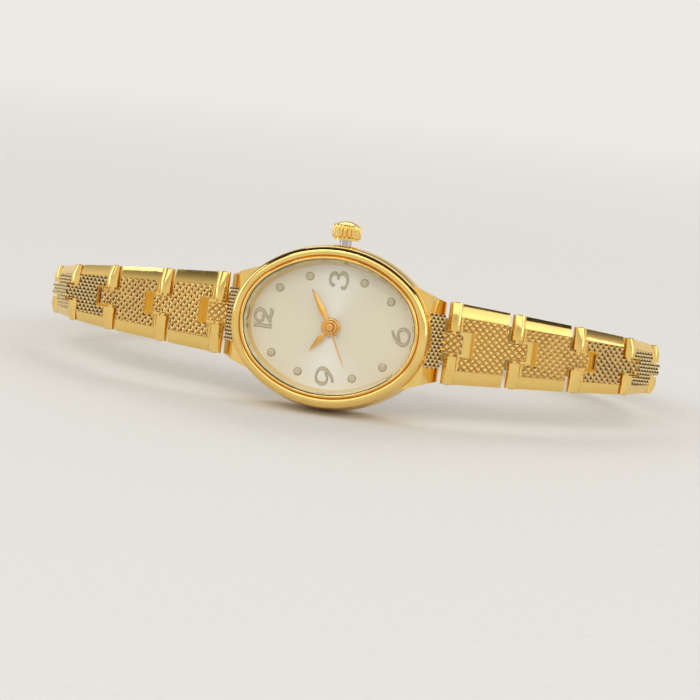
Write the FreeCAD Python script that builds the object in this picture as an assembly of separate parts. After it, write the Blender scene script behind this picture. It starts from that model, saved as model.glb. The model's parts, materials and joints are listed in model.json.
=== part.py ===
import FreeCAD, Part
import math
import os

# Ladies' oval bracelet watch in gold-coloured metal, with a quartz movement inside.
# Every piece is drawn with the watch lying on its back: X runs from 12 towards 6 o'clock,
# Y from 9 towards 3 o'clock, Z comes out of the dial, and the dial's face is at Z = 0.
# stand() then tips the pieces onto the nine o'clock flank, leaning back on the clasp.
# All sizes are in millimetres and all angles in degrees.

V = FreeCAD.Vector

# Head: the dial window is an oval of four arcs, and the other ovals run parallel to it
window_long_radius = 9.1
window_short_radius = 6.95
window_end_radius = 5.7
bezel_width = 2.0
bezel_top = 2.4
bezel_seat = 0.6
belt_bulge = 0.35
belt_level = -1.4
case_rim_level = -4.6
case_rim_draw_in = 0.6
cavity_margin = 0.62
belt_facets = 4

# Bezel section, from the window outwards
rehaut_lean = 0.25
crystal_ledge = 0.3
inner_ring_width = 0.36
inner_ring_crown = 0.15
inner_ring_facets = 3
groove_width = 0.16
groove_depth = 0.2
shoulder_drop = 0.25
broad_ring_drop = 1.05
broad_ring_facets = 4
crystal_thickness = 0.8
crystal_bevel = 0.15
crystal_fit = 0.05
gasket_thickness = 0.08

# Dial and hands
dial_thickness = 0.4
dial_margin = 0.3
dot_radius = 0.47
dot_height = 0.12
hour_track_long_radius = 8.15
hour_track_short_radius = 5.76
hour_hand_length = 3.45
minute_hand_length = 4.65
second_hand_length = 4.75
hand_thickness = 0.14
hand_half_width = 0.36
second_half_width = 0.1
hour_hub_radius = 1.05
minute_hub_radius = 0.78
second_hub_radius = 0.42
hand_neck_share = 0.42
hand_shoulder_share = 0.32
hour_hand_level = 0.42
minute_hand_level = 0.76
second_hand_level = 1.1
hub_cap_height = 0.28
shown_hours = 10
shown_minutes = 9
shown_seconds = 40.5

# Movement
movement_inset = 0.05
plate_thickness = 1.15
holder_fit = 0.06
bridge_level = -3.5
bridge_thickness = 0.3
bridge_edge = -1.65
wheel_thickness = 0.15
wheel_sides = 24
rod_sides = 12
arbor_radius = 0.1
running_fit = 0.05
mesh_gap = 0.02
cannon_radius = 0.375
hour_pipe_radius = 0.6
battery_wall = 0.3
battery_train_gap = 0.07
battery_thickness = 2.6
battery_below_bridge = 0.15
clamp_width = 1.2
clamp_thickness = 0.12
clamp_foot = 0.5
clamp_short_by = 0.75
battery_step = 0.2
battery_rim = 0.5
screw_head_radius = 0.42
screw_head_height = 0.22
screw_shank_radius = 0.25
train_distance = 2.14
fifth_distance = 1.8
rotor_distance = 1.4
motion_distance = 2.2
third_direction = -75
fifth_direction = 10
rotor_direction = 18
minute_direction = -30
board_margin = 0.55
board_width = 2.1
resonator_radius = 0.55
resonator_length = 2.9
resonator_start = -1.9
coil_x = 6.0
coil_radius = 0.72
coil_half_length = 3.0
core_half_length = 4.0

# Case back
back_thickness = 0.8
back_stands_out = 0.15
back_fit = 0.05
back_flange = 0.35
back_step = 0.3

# Crown, its stem and tube
stem_level = -2.15
stem_radius = 0.35
stem_groove_radius = 0.14
stem_groove_half = 0.26
tube_radius = 0.68
tube_stands_out = 0.6
crown_radius = 1.65
crown_height = 2.2
crown_dome = 0.5
collar_step = 0.25
collar_height = 0.2
stem_short_by = 0.3
crown_gap = 0.58
crown_flutes = 20
flute_depth = 0.14
crown_pull = 0.5
clutch_y = 3.6
clutch_length = 0.9
clutch_radius = 0.52
lever_arm = 1.9
lever_y = 5.0
post_radius = 0.16

# Bracelet
band_width = 9.2
band_taper = 0.9
band_end_width = 5.0
pitch = 7.3
link_count = 8
pin_x = 13.4
pin_level = -2.65
pin_radius = 0.35
pin_seat = 0.2
hinge_fit = 0.04
lip_radius = 0.8
hinge_gap = 0.4
link_back = -0.65
rail_edge = 0.15
rail_crest = 0.55
pad_rise = 0.07
lip_edge = 0.42
crest_share = 0.66
notch_share = 0.31
tongue_share = 0.245
tongue_reach = 1.25
tongue_plate = 0.4
tongue_root = 0.3
web_lift = 0.1
pad_start = 0.3
notch_reach = 2.34
pocket_wall = 0.5
pocket_roof = 0.15
lug_root_level = 0.3
right_bends = (17, 5, 19, 28, 26, 24, 22, 18)
left_bends = (18, 2, 20, 19, 30, 27, 24, 20)

# Clasp: a channel on the right end and a slotted tongue on the left end
clasp_width = 5.6
clasp_length = 19.0
clasp_wall = 0.45
clasp_floor = 0.4
clasp_block = 2.6
clasp_bend = 12
lever_pin_radius = 0.3
lever_pin_u = 4.2
lever_pin_n = 0.35
lever_barrel = 0.5
lever_plate = 0.38
lever_bevel = 0.15
lever_bevel_width = 0.6
catch_gap = 0.1
catch_thickness = 0.45
catch_inset = 0.8
catch_lift = 0.2
lever_seat_gap = 0.07
lever_side_gap = 0.08
lever_relief = 0.95
tongue_bend = 10
tongue_block = 3.2
slide_length = 17.0
slide_start = 1.5
nose_length = 1.2
nose_taper = 1.1
slide_width = 3.9
slide_thickness = 0.5
slide_bottom = -0.15
slot_count = 5
slot_pitch = 2.2
slot_length = 1.1
slot_width = 2.3
first_slot = 5.4
peg_radius = 0.42
peg_from_end = 3.0
peg_drop = 0.1
peg_clearance = 0.15

# Sizes that follow from the ones above
end_centre = window_long_radius - window_end_radius
window_side_radius = ((end_centre ** 2 + window_short_radius ** 2 - window_end_radius ** 2)
                      / (2 * (window_short_radius - window_end_radius)))
side_centre = window_side_radius - window_short_radius
corner_turn = math.degrees(math.atan2(side_centre, end_centre))
bezel_long_radius = window_long_radius + bezel_width
bezel_short_radius = window_short_radius + bezel_width
belt_short_radius = bezel_short_radius + belt_bulge
cavity_short_radius = window_short_radius + cavity_margin
dial_back = -dial_thickness
plate_back = dial_back - plate_thickness
ledge_level = bezel_top - 0.1 - crystal_thickness
back_inner = case_rim_level - back_stands_out + back_thickness
pad_level = rail_crest + pad_rise
body_end = pitch - lip_radius - hinge_gap


# Plain shapes

def oval_arcs():
    # centre, radius, first direction and sweep of each arc of the window's outline
    side_sweep = 180 - 2 * corner_turn
    return (
        (end_centre, 0, window_end_radius, -corner_turn, 2 * corner_turn),
        (0, -side_centre, window_side_radius, corner_turn, side_sweep),
        (-end_centre, 0, window_end_radius, 180 - corner_turn, 2 * corner_turn),
        (0, side_centre, window_side_radius, 180 + corner_turn, side_sweep),
    )


def oval(grow, bottom, top):
    # a plate with the window's outline, moved outwards by grow
    edges = []
    for x, y, radius, start, sweep in oval_arcs():
        points = []
        for part_way in (0, 0.5, 1):
            away_x, away_y = polar(radius + grow, start + sweep * part_way)
            points.append(V(x + away_x, y + away_y, bottom))
        edges.append(Part.Arc(*points).toShape())
    return Part.Face(Part.Wire(edges)).extrude(V(0, 0, top - bottom))


def turned(section):
    # a ring whose section is drawn with X outwards from the window's outline
    sectors = []
    for x, y, radius, start, sweep in oval_arcs():
        face = Part.Face(section)
        face.translate(V(radius, 0, 0))
        sector = face.revolve(V(0, 0, 0), V(0, 0, 1), sweep)
        sector.rotate(V(0, 0, 0), V(0, 0, 1), start)
        sector.translate(V(x, y, 0))
        sectors.append(sector)
    return fused(sectors)


def disc(x, y, radius, bottom, top):
    return Part.makeCylinder(radius, top - bottom, V(x, y, bottom))


def block(x0, x1, y0, y1, z0, z1):
    return Part.makeBox(x1 - x0, y1 - y0, z1 - z0, V(x0, y0, z0))


def prism(points, direction):
    outline = Part.makePolygon(points + points[:1])
    return Part.Face(outline).extrude(direction)


def many_sided(sides, x, y, radius, bottom, top):
    # corners lie on the radius, so a turning piece never reaches past it
    points = []
    for index in range(sides):
        away_x, away_y = polar(radius, 360 * index / sides)
        points.append(V(x + away_x, y + away_y, bottom))
    return prism(points, V(0, 0, top - bottom))


def rod(x, y, radius, bottom, top):
    return many_sided(rod_sides, x, y, radius, bottom, top)


def around(sides, x, y, radius, bottom, top):
    # flats lie on the radius, so a piece of that radius turns freely inside
    return many_sided(sides, x, y, radius / math.cos(math.pi / sides), bottom, top)


def rod_hole(x, y, radius, bottom, top):
    return around(rod_sides, x, y, radius, bottom, top)


def wheel_hole(x, y, radius, bottom, top):
    return around(wheel_sides, x, y, radius, bottom, top)


def fused(shapes):
    return shapes[0].fuse(shapes[1:]).removeSplitter()


def polar(distance, direction):
    angle = math.radians(direction)
    return distance * math.cos(angle), distance * math.sin(angle)


# Case

def at(x, z):
    return V(x, 0, z)


def chords(start, middle, end, count):
    # points along the arc through three points, for a curved flank in few flat steps
    arc = Part.Arc(start, middle, end)
    step = (arc.LastParameter - arc.FirstParameter) / count
    return [arc.value(arc.FirstParameter + step * index) for index in range(count + 1)]


def closed(points):
    return Part.makePolygon(points + points[:1])


def case_section():
    # straight wall inside, with a step for the back, and a full belt outside
    step = cavity_margin + back_flange
    belt = chords(at(bezel_width, bezel_seat), at(bezel_width + belt_bulge, belt_level),
                  at(bezel_width - case_rim_draw_in, case_rim_level), belt_facets)
    inside = [at(step, case_rim_level), at(step, case_rim_level + back_step),
              at(cavity_margin, case_rim_level + back_step), at(cavity_margin, bezel_seat)]
    return closed(belt + inside)


def tangent_point(x, y, centre_x, centre_y, radius):
    reach = math.hypot(x - centre_x, y - centre_y)
    turn = math.degrees(math.atan2(y - centre_y, x - centre_x) + math.acos(radius / reach))
    away_x, away_y = polar(radius, turn)
    return centre_x + away_x, centre_y + away_y, turn


def lug_touch_point(lug_end):
    # where a straight line from the lug's corner meets the oval without crossing it
    half = band_width / 2
    x, y, turn = tangent_point(lug_end, half, end_centre, 0, window_end_radius + bezel_width)
    if turn > corner_turn:
        x, y, turn = tangent_point(lug_end, half, 0, -side_centre, window_side_radius + bezel_width)
    return x, y


def lug():
    # a shoulder that runs tangent to the oval, out to the first hinge on the +X side
    lug_end = pin_x - lip_radius - hinge_gap
    touch_x, touch_y = lug_touch_point(lug_end)
    half = band_width / 2
    floor = pin_level + link_back
    plan = prism([V(touch_x, -touch_y, floor), V(lug_end, -half, floor),
                  V(lug_end, half, floor), V(touch_x, touch_y, floor)], V(0, 0, 5))

    def side_profile(rise, width):
        start = V(touch_x, -width, floor)
        return prism([start, V(lug_end, -width, floor),
                      V(lug_end, -width, pin_level + rail_crest + rise),
                      V(bezel_long_radius, -width, lug_root_level + rise),
                      V(touch_x, -width, lug_root_level + rise)], V(0, 2 * width, 0))

    shoulders = plan.common(side_profile(0, bezel_short_radius))
    pad = plan.common(side_profile(pad_rise, half * crest_share))
    tongue = hinge_tongue(band_width)
    tongue.translate(V(pin_x, 0, pin_level))
    return fused([shoulders, pad, tongue]).cut(hinge_bore(band_width, V(pin_x, 0, pin_level)))


def case_body():
    right = lug()
    left = right.copy()
    left.rotate(V(0, 0, 0), V(0, 0, 1), 180)
    cavity = oval(cavity_margin, case_rim_level - 1, bezel_seat + 1)
    tube_hole = Part.makeCylinder(tube_radius, 6, V(0, 6, stem_level), V(0, 1, 0))
    lugs = fused([right, left]).cut(cavity)
    return fused([turned(case_section()), lugs]).cut(tube_hole)


def crown_tube():
    start = cavity_short_radius
    end = belt_short_radius + tube_stands_out
    tube = Part.makeCylinder(tube_radius, end - start, V(0, start, stem_level), V(0, 1, 0))
    bore = Part.makeCylinder(stem_radius + running_fit, 20, V(0, 0, stem_level), V(0, 1, 0))
    inner_face = oval(cavity_margin, case_rim_level, bezel_seat)
    return tube.cut([bore, inner_face])


def bezel_section():
    # inner wall, crystal ledge, thin ring, groove, broad ring and the tenon in the case
    ledge_end = rehaut_lean + crystal_ledge
    ring_middle = ledge_end + inner_ring_width / 2
    ring_end = ledge_end + inner_ring_width
    groove_end = ring_end + groove_width
    shoulder = bezel_top - shoulder_drop
    tenon = cavity_margin - crystal_fit
    wall = [at(0, 0), at(rehaut_lean, ledge_level), at(ledge_end, ledge_level)]
    ring = chords(at(ledge_end, shoulder), at(ring_middle, shoulder + inner_ring_crown),
                  at(ring_end, shoulder), inner_ring_facets)
    groove = [at(ring_end + groove_width / 2, shoulder - groove_depth)]
    broad_ring = chords(at(groove_end, shoulder), at(bezel_width - 0.3, bezel_top - 0.3),
                        at(bezel_width, bezel_top - broad_ring_drop), broad_ring_facets)
    foot = [at(bezel_width, bezel_seat), at(tenon, bezel_seat), at(tenon, 0)]
    return closed(wall + ring + groove + broad_ring + foot)


def bezel():
    return turned(bezel_section())


def edges_at(shape, level):
    return [edge for edge in shape.Edges
            if abs(edge.BoundBox.ZMin - level) < 0.001 and abs(edge.BoundBox.ZMax - level) < 0.001]


def crystal():
    top = ledge_level + crystal_thickness
    slab = oval(rehaut_lean + crystal_ledge - crystal_fit, ledge_level + gasket_thickness, top)
    return slab.makeChamfer(crystal_bevel, edges_at(slab, top))


def crystal_gasket():
    ring = oval(rehaut_lean + crystal_ledge - crystal_fit, ledge_level, ledge_level + gasket_thickness)
    return ring.cut(oval(rehaut_lean, ledge_level - 1, ledge_level + 1))


def case_back():
    outside = case_rim_level - back_stands_out
    plug = oval(cavity_margin - back_fit, case_rim_level, back_inner)
    flange_top = case_rim_level + back_step - gasket_thickness
    flange = oval(cavity_margin + back_flange - back_fit, outside, flange_top)
    back = fused([plug, flange])
    return back.makeChamfer(back_stands_out, edges_at(back, outside))


def case_back_gasket():
    top = case_rim_level + back_step
    ring = oval(cavity_margin + back_flange - back_fit, top - gasket_thickness, top)
    return ring.cut(oval(cavity_margin, top - 1, top + 1))


# Dial and hands

def dial():
    plate = oval(dial_margin, dial_back, 0)
    return plate.cut(disc(0, 0, hour_pipe_radius + 0.15, dial_back - 1, 1))


def hour_dots():
    dots = []
    for hour in (1, 2, 4, 5, 7, 8, 10, 11):
        turn = math.radians(30 * hour)
        reach = 1 / math.hypot(math.cos(turn) / hour_track_long_radius,
                               math.sin(turn) / hour_track_short_radius)
        x = -reach * math.cos(turn)
        y = reach * math.sin(turn)
        dots.append(rod(x, y, dot_radius, 0, dot_height))
    return Part.makeCompound(dots)


def hand(length, widest, hub_radius, bore_radius, level, turn):
    # a slim leaf drawn towards 12 o'clock and turned clockwise as seen on the dial
    neck = widest * hand_neck_share
    shoulder = -(hub_radius + (length - hub_radius) * hand_shoulder_share)
    blade = prism([V(0, -neck, level), V(shoulder, -widest, level), V(-length, -0.04, level),
                   V(-length, 0.04, level), V(shoulder, widest, level), V(0, neck, level)],
                  V(0, 0, hand_thickness))
    hub = disc(0, 0, hub_radius, level, level + hand_thickness)
    shape = fused([blade, hub])
    if bore_radius > 0:
        shape = shape.cut(rod_hole(0, 0, bore_radius, level - 1, level + 1))
    shape.rotate(V(0, 0, 0), V(0, 0, 1), -turn)
    return shape


def hour_hand():
    turn = 30 * shown_hours + shown_minutes / 2 + shown_seconds / 120
    return hand(hour_hand_length, hand_half_width, hour_hub_radius, hour_pipe_radius,
                hour_hand_level, turn)


def minute_hand():
    turn = 6 * shown_minutes + shown_seconds / 10
    return hand(minute_hand_length, hand_half_width, minute_hub_radius, cannon_radius,
                minute_hand_level, turn)


def second_hand():
    blade = hand(second_hand_length, second_half_width, second_hub_radius / 2, 0, second_hand_level,
                 6 * shown_seconds)
    cap = many_sided(wheel_sides, 0, 0, second_hub_radius,
                     second_hand_level, second_hand_level + hub_cap_height)
    cap = cap.makeChamfer(0.08, edges_at(cap, second_hand_level + hub_cap_height))
    return fused([blade, cap]).cut(rod_hole(0, 0, arbor_radius, 0, second_hand_level + 0.16))


# Movement: the plates

def movement_oval(bottom, top, grow=0.0):
    return oval(grow - movement_inset, bottom, top)


third_x, third_y = polar(train_distance, third_direction)
fifth_x, fifth_y = polar(fifth_distance, fifth_direction)
rotor_x, rotor_y = polar(rotor_distance, rotor_direction)
rotor_x += fifth_x
rotor_y += fifth_y
minute_x, minute_y = polar(motion_distance, minute_direction)

# Tooth counts of the train, wheel over pinion, give each pair its radii
third_teeth = 60 / 8
center_teeth = 64 / 8
second_teeth = 40 / 8
fifth_teeth = 48 / 8
minute_teeth = 30 / 10
hour_teeth = 32 / 8

second_pinion_radius = train_distance / (1 + third_teeth)
third_wheel_radius = train_distance - second_pinion_radius - mesh_gap
third_pinion_radius = train_distance / (1 + center_teeth)
center_wheel_radius = train_distance - third_pinion_radius - mesh_gap
fifth_pinion_radius = fifth_distance / (1 + second_teeth)
second_wheel_radius = fifth_distance - fifth_pinion_radius - mesh_gap
rotor_pinion_radius = rotor_distance / (1 + fifth_teeth)
fifth_wheel_radius = rotor_distance - rotor_pinion_radius - mesh_gap
cannon_pinion_radius = motion_distance / (1 + minute_teeth)
minute_wheel_radius = motion_distance - cannon_pinion_radius - mesh_gap
minute_pinion_radius = motion_distance / (1 + hour_teeth)
hour_wheel_radius = motion_distance - minute_pinion_radius - mesh_gap

# The cell fills the room between the train and the far end of the plate
battery_far = window_long_radius - movement_inset - battery_wall
battery_near = center_wheel_radius + battery_train_gap
battery_radius = (battery_far - battery_near) / 2
battery_x = -(battery_far + battery_near) / 2

# Levels of the wheels, from the dial inwards
hour_wheel_level = dial_back - 0.22
minute_wheel_level = dial_back - 0.45
center_wheel_level = plate_back + 0.15
fifth_wheel_level = plate_back - 0.3
third_wheel_level = plate_back - 0.7
second_wheel_level = plate_back - 1.15
magnet_bottom = plate_back - 1.2
magnet_top = plate_back - 0.6
stator_bottom = plate_back - 1.1
stator_top = plate_back - 0.85

screw_places = ((-1.1, 2.5), (4.72, -2.2), (4.72, 2.2))


def main_plate():
    plate = movement_oval(plate_back, dial_back)
    clearance = 0.1
    cuts = [
        disc(battery_x, 0, battery_radius + running_fit, plate_back - 1, dial_back - 0.3),
        rod_hole(0, 0, cannon_radius + running_fit, plate_back - 1, 1),
        wheel_hole(0, 0, hour_wheel_radius + clearance, dial_back - 0.55, 1),
        wheel_hole(minute_x, minute_y, minute_wheel_radius + clearance, dial_back - 0.55, 1),
        wheel_hole(0, 0, center_wheel_radius + clearance, plate_back - 1, center_wheel_level + 0.2),
        rod_hole(third_x, third_y, third_pinion_radius + clearance, plate_back - 1, center_wheel_level + 0.2),
        rod_hole(third_x, third_y, arbor_radius + running_fit, plate_back - 1, center_wheel_level + 0.35),
        rod_hole(fifth_x, fifth_y, arbor_radius + running_fit, plate_back - 1, plate_back + 0.1),
        rod_hole(rotor_x, rotor_y, arbor_radius + running_fit, plate_back - 1, plate_back + 0.1),
    ]
    for x, y in screw_places:
        cuts.append(rod_hole(x, y, screw_shank_radius, plate_back - 1, plate_back + 0.5))
    post = rod(minute_x, minute_y, arbor_radius * 2, dial_back - 0.6, dial_back - 0.1)
    return fused([plate.cut(cuts), post])


def train_bridge():
    region = block(bridge_edge, coil_x - coil_radius - 0.1, -4.0, 3.2,
                   bridge_level, bridge_level + bridge_thickness)
    bridge = region.common(movement_oval(bridge_level - 1, 0, -0.2))
    posts = []
    for x, y in screw_places:
        posts.append(rod(x, y, screw_head_radius, bridge_level, plate_back))
    holes = [rod_hole(x, y, arbor_radius + running_fit, bridge_level - 1, bridge_level + 1)
             for x, y in ((0, 0), (third_x, third_y), (fifth_x, fifth_y), (rotor_x, rotor_y))]
    for x, y in screw_places:
        holes.append(rod_hole(x, y, screw_shank_radius, bridge_level - 1, plate_back + 1))
    return fused([bridge] + posts).cut(holes)


def movement_screws():
    screws = []
    for x, y in screw_places:
        head = rod(x, y, screw_head_radius, bridge_level - screw_head_height, bridge_level)
        shank = rod(x, y, screw_shank_radius, bridge_level, plate_back + 0.45)
        slot = block(x - 1, x + 1, y - 0.07, y + 0.07, bridge_level - 1, bridge_level - 0.12)
        screws.append(fused([head, shank]).cut(slot))
    return Part.makeCompound(screws)


def movement_holder():
    ring = oval(cavity_margin - holder_fit, back_inner + 0.1, dial_back)
    hole = movement_oval(back_inner - 1, 1, holder_fit)
    stem_way = Part.makeCylinder(stem_radius + 0.15, 20, V(0, 0, stem_level), V(0, 1, 0))
    return ring.cut([hole, stem_way])


# Movement: the motor and its circuit

def coil_block():
    winding = Part.makeCylinder(coil_radius, 2 * coil_half_length,
                                V(coil_x, -coil_half_length, stator_top), V(0, 1, 0))
    core = block(coil_x - 0.3, coil_x + 0.3, -core_half_length, core_half_length,
                 stator_top, stator_top + 0.22)
    flanges = []
    for y in (-coil_half_length - 0.15, coil_half_length):
        flanges.append(Part.makeCylinder(coil_radius + 0.06, 0.15, V(coil_x, y, stator_top), V(0, 1, 0)))
    return fused([winding, core] + flanges)


def stator():
    inner = rotor_x - 0.95
    plate = block(inner, 4.2, -core_half_length, core_half_length, stator_bottom, stator_top)
    arms = []
    for y in (-core_half_length, coil_half_length + 0.25):
        arms.append(block(4.0, coil_x + 0.5, y, y + core_half_length - coil_half_length - 0.25,
                          stator_bottom, stator_top))
    return fused([plate] + arms).cut(wheel_hole(rotor_x, rotor_y, 0.72, -9, 9))


def circuit_board():
    far = -(window_short_radius - board_margin)
    near = far + board_width
    board = block(-2.4, 4.4, far, near, plate_back - 0.45, plate_back - 0.2)
    chip = block(1.6, 3.2, far + 0.4, near - 0.4, plate_back - 0.85, plate_back - 0.45)
    return fused([board.common(movement_oval(-9, 9, -0.3)), chip])


def quartz_resonator():
    middle = board_width / 2 + board_margin - window_short_radius
    level = plate_back - 0.45 - resonator_radius - mesh_gap
    can = Part.makeCylinder(resonator_radius, resonator_length, V(resonator_start, middle, level), V(1, 0, 0))
    lead = Part.makeCylinder(0.2, 0.4, V(resonator_start + resonator_length, middle, level), V(1, 0, 0))
    return fused([can, lead])


def battery():
    bottom = bridge_level - battery_below_bridge
    can = disc(battery_x, 0, battery_radius, bottom, bottom + battery_thickness - battery_step)
    cap = disc(battery_x, 0, battery_radius - battery_rim, bottom, bottom + battery_thickness)
    return fused([can, cap])


def battery_clamp():
    level = bridge_level - battery_below_bridge
    half = clamp_width / 2
    far = battery_x - battery_radius + clamp_short_by
    near = bridge_edge + clamp_foot
    strip = block(far, near, -half, half, level - clamp_thickness, level)
    foot = block(bridge_edge + mesh_gap, near + clamp_foot, -half, half,
                 level - clamp_thickness, bridge_level)
    return fused([strip, foot])


# Movement: the wheels

def wheel(x, y, radius, level):
    return many_sided(wheel_sides, x, y, radius, level, level + wheel_thickness)


def second_wheel():
    return fused([
        wheel(0, 0, second_wheel_radius, second_wheel_level),
        rod(0, 0, second_pinion_radius, second_wheel_level, third_wheel_level + wheel_thickness + 0.05),
        disc(0, 0, arbor_radius, bridge_level + 0.02, second_hand_level + 0.16),
    ])


def third_wheel():
    return fused([
        wheel(third_x, third_y, third_wheel_radius, third_wheel_level),
        rod(third_x, third_y, third_pinion_radius, third_wheel_level, center_wheel_level + wheel_thickness),
        disc(third_x, third_y, arbor_radius, bridge_level + 0.02, center_wheel_level + 0.3),
    ])


def center_wheel():
    top = minute_hand_level + hand_thickness + 0.1
    shape = fused([
        wheel(0, 0, center_wheel_radius, center_wheel_level),
        rod(0, 0, cannon_radius, center_wheel_level, top),
        rod(0, 0, cannon_pinion_radius, minute_wheel_level - 0.03, minute_wheel_level + 0.17),
    ])
    return shape.cut(rod_hole(0, 0, arbor_radius + running_fit, -9, 9))


def minute_wheel():
    shape = fused([
        wheel(minute_x, minute_y, minute_wheel_radius, minute_wheel_level),
        rod(minute_x, minute_y, minute_pinion_radius, minute_wheel_level, hour_wheel_level + wheel_thickness),
    ])
    return shape.cut(disc(minute_x, minute_y, arbor_radius * 2 + running_fit, -9, 9))


def hour_wheel():
    shape = fused([
        wheel(0, 0, hour_wheel_radius, hour_wheel_level),
        rod(0, 0, hour_pipe_radius, hour_wheel_level, hour_hand_level + hand_thickness + 0.08),
    ])
    return shape.cut(rod_hole(0, 0, cannon_radius + running_fit, -9, 9))


def fifth_wheel():
    return fused([
        wheel(fifth_x, fifth_y, fifth_wheel_radius, fifth_wheel_level),
        rod(fifth_x, fifth_y, fifth_pinion_radius, second_wheel_level, fifth_wheel_level),
        disc(fifth_x, fifth_y, arbor_radius, bridge_level + 0.02, plate_back + 0.06),
    ])


def rotor():
    return fused([
        many_sided(wheel_sides, rotor_x, rotor_y, 0.6, magnet_bottom, magnet_top),
        rod(rotor_x, rotor_y, rotor_pinion_radius, magnet_top, fifth_wheel_level + wheel_thickness + 0.05),
        disc(rotor_x, rotor_y, arbor_radius, bridge_level + 0.02, plate_back + 0.06),
    ])


# Crown, stem and setting parts

def along_stem(radius, start, end):
    return Part.makeCylinder(radius, end - start, V(0, start, stem_level), V(0, 1, 0))


crown_start = belt_short_radius + crown_gap


def crown_band(start, end):
    # a straight-grooved edge, drawn as one outline of ridges and grooves
    points = []
    for index in range(2 * crown_flutes):
        radius = crown_radius - flute_depth * (index % 2)
        across, out = polar(radius, 180 * index / crown_flutes)
        points.append(V(across, start, stem_level + out))
    return prism(points, V(0, end - start, 0))


def crown():
    band_end = crown_start + crown_height - crown_dome
    collar = along_stem(crown_radius - collar_step, crown_start, crown_start + collar_height)
    dome_edge = crown_radius - flute_depth
    ball = (dome_edge ** 2 + crown_dome ** 2) / (2 * crown_dome)
    dome = Part.makeSphere(ball, V(0, band_end + crown_dome - ball, stem_level))
    dome = dome.common(along_stem(crown_radius + 1, band_end, band_end + 2))
    skirt = along_stem(tube_radius + 2 * running_fit, crown_start, crown_start + crown_pull + tube_stands_out)
    seat = along_stem(stem_radius, crown_start, band_end - stem_short_by)
    return fused([collar, crown_band(crown_start + collar_height, band_end), dome]).cut([skirt, seat])


def stem():
    end = crown_start + crown_height - crown_dome - stem_short_by
    rod = along_stem(stem_radius, clutch_y - 0.9, end)
    slim = along_stem(stem_radius + 1, clutch_y - 2, clutch_y + clutch_length + 0.55)
    slim = slim.cut(along_stem(stem_radius - 0.07, clutch_y - 3, clutch_y + 3))
    groove = along_stem(stem_radius + 1, lever_y - stem_groove_half, lever_y + stem_groove_half)
    groove = groove.cut(along_stem(stem_groove_radius, 0, 9))
    return rod.cut([slim, groove])


def clutch_wheel():
    body = along_stem(clutch_radius, clutch_y, clutch_y + clutch_length)
    groove = along_stem(clutch_radius + 1, clutch_y + 0.35, clutch_y + 0.6)
    groove = groove.cut(along_stem(clutch_radius - 0.12, 0, 9))
    bore = along_stem(stem_radius - 0.07 + running_fit, 0, 9)
    return body.cut([groove, bore])


def setting_lever():
    top = plate_back - 0.02
    bottom = top - 0.12
    plate = block(-lever_arm, 0.0, lever_y - 0.28, lever_y + 0.28, bottom, top)
    eye = rod(-lever_arm, lever_y, 0.42, bottom, top)
    nose = rod(0, lever_y, 0.28, bottom, top)
    finger = rod(0, lever_y, 0.12, stem_level + stem_groove_radius + 0.05, top)
    post_hole = disc(-lever_arm, lever_y, post_radius + running_fit, -9, 9)
    return fused([plate, eye, nose, finger]).cut(post_hole)


def setting_post():
    shank = rod(-lever_arm, lever_y, post_radius, plate_back - 0.3, plate_back)
    head = rod(-lever_arm, lever_y, 0.34, plate_back - 0.34, plate_back - 0.2)
    return fused([shank, head])


# Bracelet. A link is drawn along X from its own pin at the origin, with its front towards +Z.

def band_width_at(station):
    return max(band_end_width, band_width - band_taper * station)


def section(u, width, back, edge, crest):
    half = width / 2
    top = half * crest_share
    points = [V(u, -half, back), V(u, -half, edge), V(u, -top, crest),
              V(u, top, crest), V(u, half, edge), V(u, half, back)]
    return Part.makePolygon(points + points[:1])


def hinge_bore(width, centre):
    bore = Part.makeCylinder(pin_radius + hinge_fit, width, V(0, -width / 2, 0), V(0, 1, 0))
    bore.translate(centre)
    return bore


def hinge_tongue(width):
    # the far end of a link: a knuckle round the next pin, and a plate that reaches past it
    half = width * tongue_share / 2
    root = -lip_radius - hinge_gap - tongue_root
    web = block(root, 0, -half, half, link_back + web_lift, pad_level)
    plate = block(0, tongue_reach, -half, half, pad_level - tongue_plate, pad_level)
    knuckle = Part.makeCylinder(pad_level, 2 * half, V(0, -half, 0), V(0, 1, 0))
    return fused([web, plate, knuckle])


def near_end(width):
    # the two rounded lips that roll over the link's own pin
    roll = Part.makeCylinder(lip_radius, width, V(0, -width / 2, 0), V(0, 1, 0))
    wires = [section(u, width, -lip_radius, lip_edge, lip_radius) for u in (-lip_radius, lip_radius)]
    return roll.common(Part.makeLoft(wires, True, True))


def hinge_notch(width):
    half = width * notch_share / 2
    return block(-2 * lip_radius, notch_reach, -half, half, -2 * lip_radius, 2 * lip_radius)


def hinge_pin(width):
    # the pin shows between the two lips, and is one solid with them
    length = width * notch_share + 2 * pin_seat
    return Part.makeCylinder(pin_radius, length, V(0, -length / 2, 0), V(0, 1, 0))


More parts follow.
